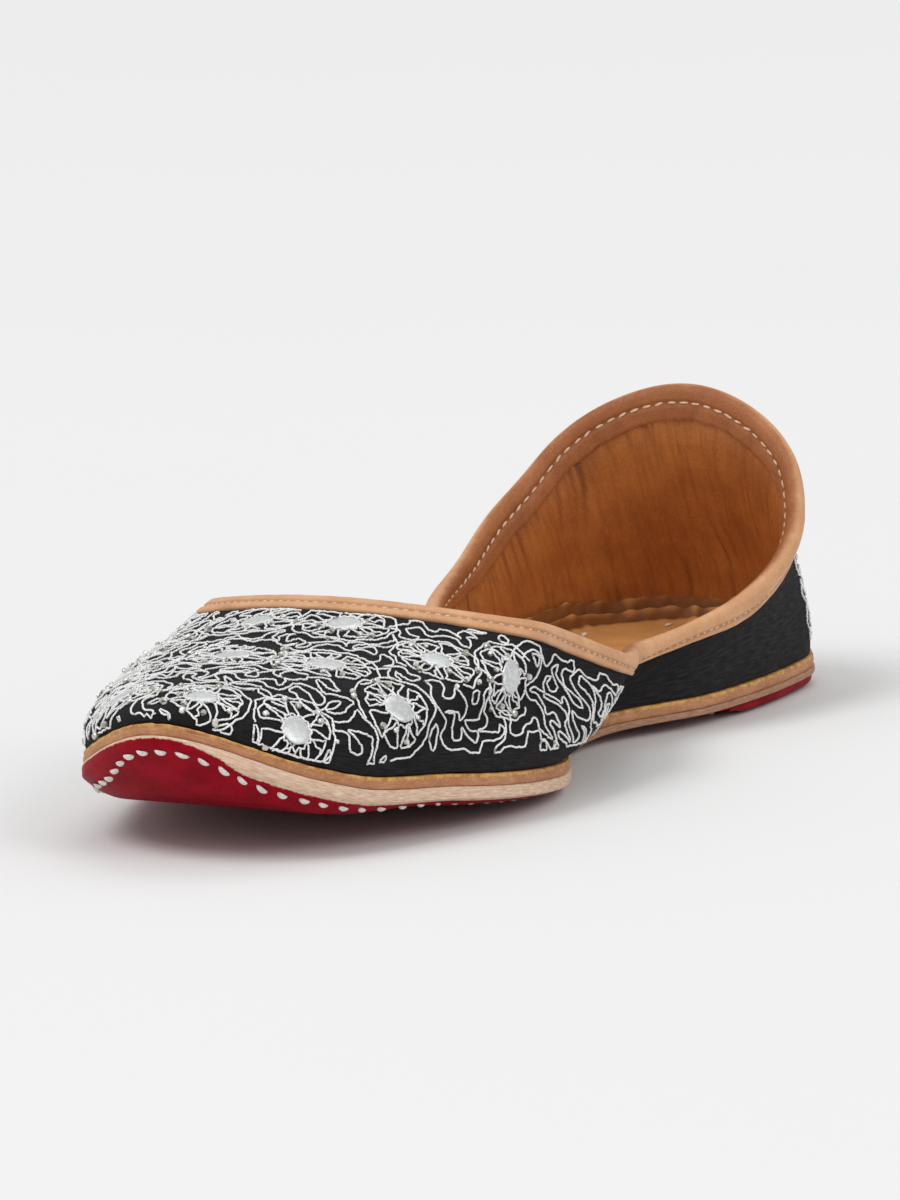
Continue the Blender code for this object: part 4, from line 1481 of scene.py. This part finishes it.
def thread_tree():
    """A round thread on every line, a little uneven, with its length and turn kept for the finish."""
    tree, got, out = geometry_tree("thread along a path", [
        ("Thickness", FLOAT), ("Unevenness", FLOAT),
        ("Sides", "NodeSocketInt"), ("Finish", "NodeSocketMaterial")])
    curve = node(tree, "GeometryNodeMeshToCurve", {"Mesh": got["Geometry"]}).outputs[0]
    run = node(tree, "GeometryNodeSplineParameter").outputs["Length"]
    curve = named(tree, curve, "thread_run", run)
    lumps = node(tree, "ShaderNodeTexNoise", {"Scale": 900.0, "Detail": 1.0},
                 noise_dimensions="3D").outputs["Fac"]
    uneven = maths(tree, "MULTIPLY_ADD", maths(tree, "SUBTRACT", lumps, 0.5), got["Unevenness"], 1.0)
    curve = node(tree, "GeometryNodeSetCurveRadius", {"Curve": curve, "Radius": uneven}).outputs[0]
    ring = node(tree, "GeometryNodeCurvePrimitiveCircle",
                {"Resolution": got["Sides"], "Radius": times(tree, got["Thickness"], 0.5)}).outputs[0]
    turn = times(tree, node(tree, "GeometryNodeSplineParameter").outputs["Factor"], TURN)
    ring = named(tree, ring, "round_x", maths(tree, "COSINE", turn))
    ring = named(tree, ring, "round_y", maths(tree, "SINE", turn))
    body = node(tree, "GeometryNodeCurveToMesh", {
        "Curve": curve, "Profile Curve": ring, "Fill Caps": True,
        "Scale": node(tree, "GeometryNodeInputRadius").outputs[0]})
    closing(tree, body.outputs[0], got["Finish"], out)
    return tree


def seed_tree():
    """A small piece on every point, turned by the point's own directions."""
    tree, got, out = geometry_tree("pieces on points", [
        ("Piece", "NodeSocketObject"), ("Finish", "NodeSocketMaterial")])

    def kept(name):
        return node(tree, "GeometryNodeInputNamedAttribute", {"Name": name},
                    data_type="FLOAT_VECTOR").outputs[0]

    axes = node(tree, "FunctionNodeAxesToRotation",
                {"Primary Axis": kept("outward"), "Secondary Axis": kept("along")},
                primary_axis="Z", secondary_axis="X").outputs[0]
    shape = node(tree, "GeometryNodeObjectInfo", {"Object": got["Piece"]}).outputs["Geometry"]
    spread = node(tree, "GeometryNodeInstanceOnPoints", {
        "Points": got["Geometry"], "Instance": shape,
        "Rotation": axes, "Scale": kept("piece_size")}).outputs[0]
    closing(tree, spread, got["Finish"], out)
    return tree


THREAD_TREE, SEED_TREE = thread_tree(), seed_tree()


def grown(name, source, tree, **values):
    """Runs a tree on a mesh with its inputs set by identifier, and keeps the plain result."""
    holder = link(bpy.data.objects.new(name + "_lines", source))
    modifier = holder.modifiers.new(name, "NODES")
    modifier.node_group = tree
    for item in tree.interface.items_tree:
        if item.in_out == "INPUT" and item.name in values:
            modifier[item.identifier] = values[item.name]
    holder.update_tag()
    bpy.context.view_layer.update()
    evaluated = holder.evaluated_get(bpy.context.evaluated_depsgraph_get())
    mesh = bpy.data.meshes.new_from_object(evaluated)
    mesh.name = name
    holder.modifiers.clear()
    bpy.data.objects.remove(holder)
    return link(bpy.data.objects.new(name, mesh))


def threads(name, lines, finish):
    """One thread along each line: (points, whether it is closed)."""
    verts, edges = [], []
    for line, closed in lines:
        first = len(verts)
        verts += [tuple(p) for p in line]
        edges += [(i, i + 1) for i in range(first, len(verts) - 1)]
        if closed:
            edges.append((len(verts) - 1, first))
    mesh = bpy.data.meshes.new(name + "_lines")
    mesh.from_pydata(verts, edges, [])
    return grown(name, mesh, THREAD_TREE, Thickness=THREAD_THICKNESS, Unevenness=THREAD_UNEVENNESS,
                 Sides=THREAD_SIDES, Finish=finish)


def seeded(name, spots, piece, finish):
    """A copy of the piece on each spot: (place, the way it points, the way it faces, its sizes)."""
    mesh = bpy.data.meshes.new(name + "_points")
    mesh.from_pydata([tuple(spot[0]) for spot in spots], [], [])
    for column, label in enumerate(("along", "outward", "piece_size"), 1):
        layer = mesh.attributes.new(label, "FLOAT_VECTOR", "POINT")
        layer.data.foreach_set("vector", np.asarray([spot[column] for spot in spots], np.float32).ravel())
    made = grown(name, mesh, SEED_TREE, Piece=piece, Finish=finish)
    bpy.data.objects.remove(piece)
    return made


# ------------------------------------------------------------ bead, mirror and stitch

def turned_shape(name, profile, spokes):
    """A small closed turned shape from (radius, height) points, poles first and last."""
    verts, faces, n = [(0.0, 0.0, profile[0][1])], [], len(spokes)
    for radius, height in profile[1:-1]:
        for k, spoke in enumerate(spokes):
            a = 2 * math.pi * k / n
            verts.append((radius * spoke * math.cos(a), radius * spoke * math.sin(a), height))
    verts.append((0.0, 0.0, profile[-1][1]))
    last = len(verts) - 1
    for k in range(n):
        j = (k + 1) % n
        faces.append((0, 1 + j, 1 + k))
        for row in range(len(profile) - 3):
            faces.append(quad(1 + row * n, 1 + (row + 1) * n, k, j))
        faces.append((last, last - n + k, last - n + j))
    return finish_mesh(name, verts, faces)


def bead_shape():
    """Seed bead on its side, of unit radius: rounded body, its ends dipped towards X."""
    half = [(0.30, 0.60), (0.62, 0.74), (0.92, 0.52)]
    profile = ([(0, -0.55)] + [(r, -h) for r, h in half] + [(1.0, 0.0)] + half[::-1] + [(0, 0.55)])
    bead = turned_shape("bead_shape", profile, [1.0] * 9)
    bead.data.transform(Matrix.Rotation(math.pi / 2, 4, "Y"))
    return bead


def mirror_shape():
    """Hand-cut round of mirror glass, of unit radius, a little domed and not quite round."""
    cuts = (0.0, -0.03, 0.02, -0.01, 0.03, -0.04, 0.0, 0.02, -0.03, 0.01, 0.03, -0.02, 0.0, -0.03, 0.02, 0.01)
    profile = [(0, -0.06), (1.0, -0.06), (1.0, 0.05), (0.9, 0.11), (0.45, 0.135), (0, 0.14)]
    return turned_shape("mirror_shape", profile, [1 + cut for cut in cuts])


def stitch_shape():
    """One soft stitch of unit length along X and unit width, full in the middle, dipping at its ends."""
    verts, faces, steps, sides = [], [], 7, 8
    for i in range(steps + 1):
        t = i / steps
        body = math.sin(math.pi * t) ** 0.45 if 0 < i < steps else 0.0
        arch = 0.26 * math.sin(math.pi * t) - 0.16
        for k in range(sides):
            a = 2 * math.pi * k / sides
            verts.append((t - 0.5, 0.5 * body * math.cos(a), arch + 0.30 * body * math.sin(a)))
    for i in range(steps):
        faces += [quad(i * sides, (i + 1) * sides, k, (k + 1) % sides) for k in range(sides)]
    stitch = finish_mesh("stitch_shape", verts, faces)
    turn_outwards(stitch.data, 1e-5)
    return stitch


# ------------------------------------------------------------ sewing

# Length, width and height of a stitch, in mm, and what the even rows measure from one to the next
SOLE_STITCH, TACK = (2.9, 1.3, 1.1), (2.3, 1.25, 0.9)
OUTER_STITCH, INNER_STITCH = (1.4, 0.46, 0.46), (2.0, 0.5, 0.5)
TACK_PITCH, OUTER_PITCH, INNER_PITCH = 19 * MM, 2.0 * MM, 2.6 * MM

# Share of the stitches that have come out: none, on a new shoe
MISSING_STITCHES = 0.0


def spots_round(ring, outward, pitch, size, dice, slant):
    """Stitch places along a closed ring, each slanted a little out of its line."""
    closed, out_closed = np.vstack([ring, ring[:1]]), np.vstack([outward, outward[:1]])
    steps = np.linalg.norm(np.diff(closed, axis=0), axis=1) / np.broadcast_to(pitch, len(ring))
    run = np.concatenate([[0.0], np.cumsum(steps)])
    count = int(run[-1])
    spots = []
    for k in range(count):
        if dice.random() < MISSING_STITCHES:
            continue
        at = (k + dice.uniform(-0.06, 0.06)) * run[-1] / count % run[-1]
        here = on_line(at, run, closed)
        ahead = on_line((at + 0.15) % run[-1], run, closed) - here
        ahead /= np.linalg.norm(ahead)
        face = on_line(at, run, out_closed)
        face /= np.linalg.norm(face)
        angle = math.radians(slant + dice.gauss(0, 5))
        along = ahead * math.cos(angle) + np.cross(face, ahead) * math.sin(angle)
        spots.append((here, along, face, [q * MM * dice.uniform(0.88, 1.12) for q in size]))
    return spots


def sole_stitches():
    """Thick cotton running stitch round the red underside, slanted as it is pulled through."""
    inset = (1.0 + 1.6 * smoothstep(0, 10, sole_stations) + 2.1 * smoothstep(34, 66, sole_stations)
             + 1.3 * smoothstep(100, 130, sole_stations) + 0.25 * ripple(sole_angles, (7, 12, 19), 61)) * MM
    ring, inner = sole_underside(inset), sole_underside(inset + 0.2 * MM)
    along = np.roll(ring, -1, axis=0) - np.roll(ring, 1, axis=0)
    down = np.cross(along, inner - ring)
    down /= np.linalg.norm(down, axis=1, keepdims=True)
    down *= -np.sign(down[:, 2:3])
    pitch = (4.1 + 1.3 * smoothstep(4, 40, sole_stations)) * MM
    seated = []
    for here, direction, face, size in spots_round(ring, down, pitch, SOLE_STITCH, random.Random(9), -16):
        if station_of(here[1]) > HEEL_START - 2 * MM:
            here = here + face * (HEEL_LIFT * 0.9 + GAP - 0.12 * MM)
        pulled = float(smoothstep(36, 60, station_of(here[1]) / MM))
        size = [q * (1 - 0.22 * pulled) for q in size]
        seated.append((here + face * (0.16 - 0.34 * pulled) * MM, direction, face, size))
    return seated


def insole_tacks():
    """A few white tacks sewn through the insole's margin."""
    ring = level_ring(INSOLE_INSET + 4.5 * MM, lambda y: seat(y) + INSOLE_THICKNESS + 0.30 * MM)
    upwards = 0 * ring + (0.0, 0.0, 1.0)
    return spots_round(ring, upwards, TACK_PITCH, TACK, random.Random(33), 30)


def binding_stitches(drop, offset, sign, pitch, size, seed, slant):
    """A row along the binding at a drop and an offset inwards; sign is 1 outside the shoe, -1 inside."""
    outward = wall_normal(wall_angles, share_at_drop(drop)) * sign
    return spots_round(wall_ring(drop, offset), outward, pitch, size, random.Random(seed), slant)


# ------------------------------------------------------------ floor, camera and light

FLOOR_REACH, FLOOR_HEIGHT = 30.0, -0.02 * MM

# The camera: its angles in degrees, what it looks at and from how far in metres, its lens in mm
VIEW_AZIMUTH, VIEW_ELEVATION, VIEW_ROLL = 25.5985, 8.9468, -0.44
VIEW_CENTRE, VIEW_DISTANCE, VIEW_LENS = (0.0072, -0.0188, 0.0338), 2.2, 468.0

# Softboxes: azimuth and elevation in degrees, watts
SOFTBOXES = {
    "front_left_softbox": (-30, 55, 290), "right_softbox": (75, 38, 140), "back_softbox": (190, 60, 66),
}
SOFTBOX_DISTANCE, SOFTBOX_SIZE, AIR_STRENGTH = 9.0, 4.6, 0.66


def make_floor():
    corners = ((-1, -1), (1, -1), (1, 1), (-1, 1))
    mesh = bpy.data.meshes.new("studio_floor")
    verts = [(x * FLOOR_REACH, y * FLOOR_REACH, FLOOR_HEIGHT) for x, y in corners]
    mesh.from_pydata(verts, [], [(0, 1, 2, 3)])
    mesh.materials.append(floor_finish())
    floor = link(bpy.data.objects.new("studio_floor", mesh))


def towards(azimuth, elevation):
    a, e = math.radians(azimuth), math.radians(elevation)
    return Vector((math.sin(a) * math.cos(e), -math.cos(a) * math.cos(e), math.sin(e)))


def facing(back, roll=0.0):
    """A turn whose -Z looks against the given direction, with its X level but for the roll."""
    back = back.normalized()
    right = Vector((0, 0, 1)).cross(back).normalized()
    up = back.cross(right)
    right, up = right * math.cos(roll) + up * math.sin(roll), up * math.cos(roll) - right * math.sin(roll)
    return Matrix((right, up, back)).transposed().to_4x4()


def make_camera():
    data = bpy.data.cameras.new("studio_camera")
    data.sensor_fit, data.sensor_width, data.lens = "HORIZONTAL", 36.0, VIEW_LENS
    data.clip_start, data.clip_end = 0.05, 60.0
    camera = link(bpy.data.objects.new("studio_camera", data))
    back = towards(VIEW_AZIMUTH, VIEW_ELEVATION)
    place = Matrix.Translation(Vector(VIEW_CENTRE) + back * VIEW_DISTANCE)
    camera.matrix_world = place @ facing(back, math.radians(VIEW_ROLL))
    bpy.context.scene.camera = camera


def make_light():
    world = bpy.data.worlds.new("studio_air")
    bpy.context.scene.world = world
    world.use_nodes = True
    air = world.node_tree.nodes["Background"]
    air.inputs["Color"].default_value = (1.0, 1.0, 1.0, 1.0)
    air.inputs["Strength"].default_value = AIR_STRENGTH
    for name, (azimuth, elevation, power) in SOFTBOXES.items():
        data = bpy.data.lights.new(name, "AREA")
        data.shape, data.size, data.energy = "DISK", SOFTBOX_SIZE, power
        back = towards(azimuth, elevation)
        lamp = link(bpy.data.objects.new(name, data))
        lamp.matrix_world = Matrix.Translation(back * SOFTBOX_DISTANCE) @ facing(back)
    bpy.context.scene.view_settings.view_transform = "Standard"


# ------------------------------------------------------------ the pieces and the nodes they stand for

work = embroider(vamp_chart(), heel_chart())
cotton = stitch_finish("white cotton stitch", rgb(0.90, 0.87, 0.82), rgb(0.60, 0.52, 0.46))
pale = stitch_finish("pale binding stitch", rgb(0.82, 0.60, 0.42), rgb(0.56, 0.36, 0.22))
outer_line = binding_stitches(OUTSIDE_STITCH, -LEAF + 0.24 * MM, 1, OUTER_PITCH, OUTER_STITCH, 51, 6)
inner_line = binding_stitches(INSIDE_STITCH, UPPER_WALL + LEAF - 0.22 * MM, -1,
                              INNER_PITCH, INNER_STITCH, 52, 5)

PIECES = (
    (make_outsole(), "outsole"),
    (make_rand(), "rand"),
    (make_heel_lift(), "heel_lift"),
    (make_insole(), "insole"),
    (make_cloth(), "upper"),
    (make_lining(), "upper"),
    (make_binding(), "topline_binding"),
    (threads("silver_thread_embroidery", work.lines, silver_finish()), "upper"),
    (seeded("flower_beads", work.beads, bead_shape(), bead_finish()), "upper"),
    (seeded("flower_mirrors", work.mirrors, mirror_shape(), mirror_finish()), "upper"),
    (seeded("insole_tacks", insole_tacks(), stitch_shape(), cotton), "insole"),
    (seeded("sole_stitches", sole_stitches(), stitch_shape(), cotton), "outsole"),
    (seeded("binding_stitches_outside", outer_line, stitch_shape(), pale), "topline_binding"),
    (seeded("binding_stitches_inside", inner_line, stitch_shape(), pale), "topline_binding"),
)

make_floor()
make_camera()
make_light()

for piece, name in PIECES:
    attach(piece, "root")
    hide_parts(name)
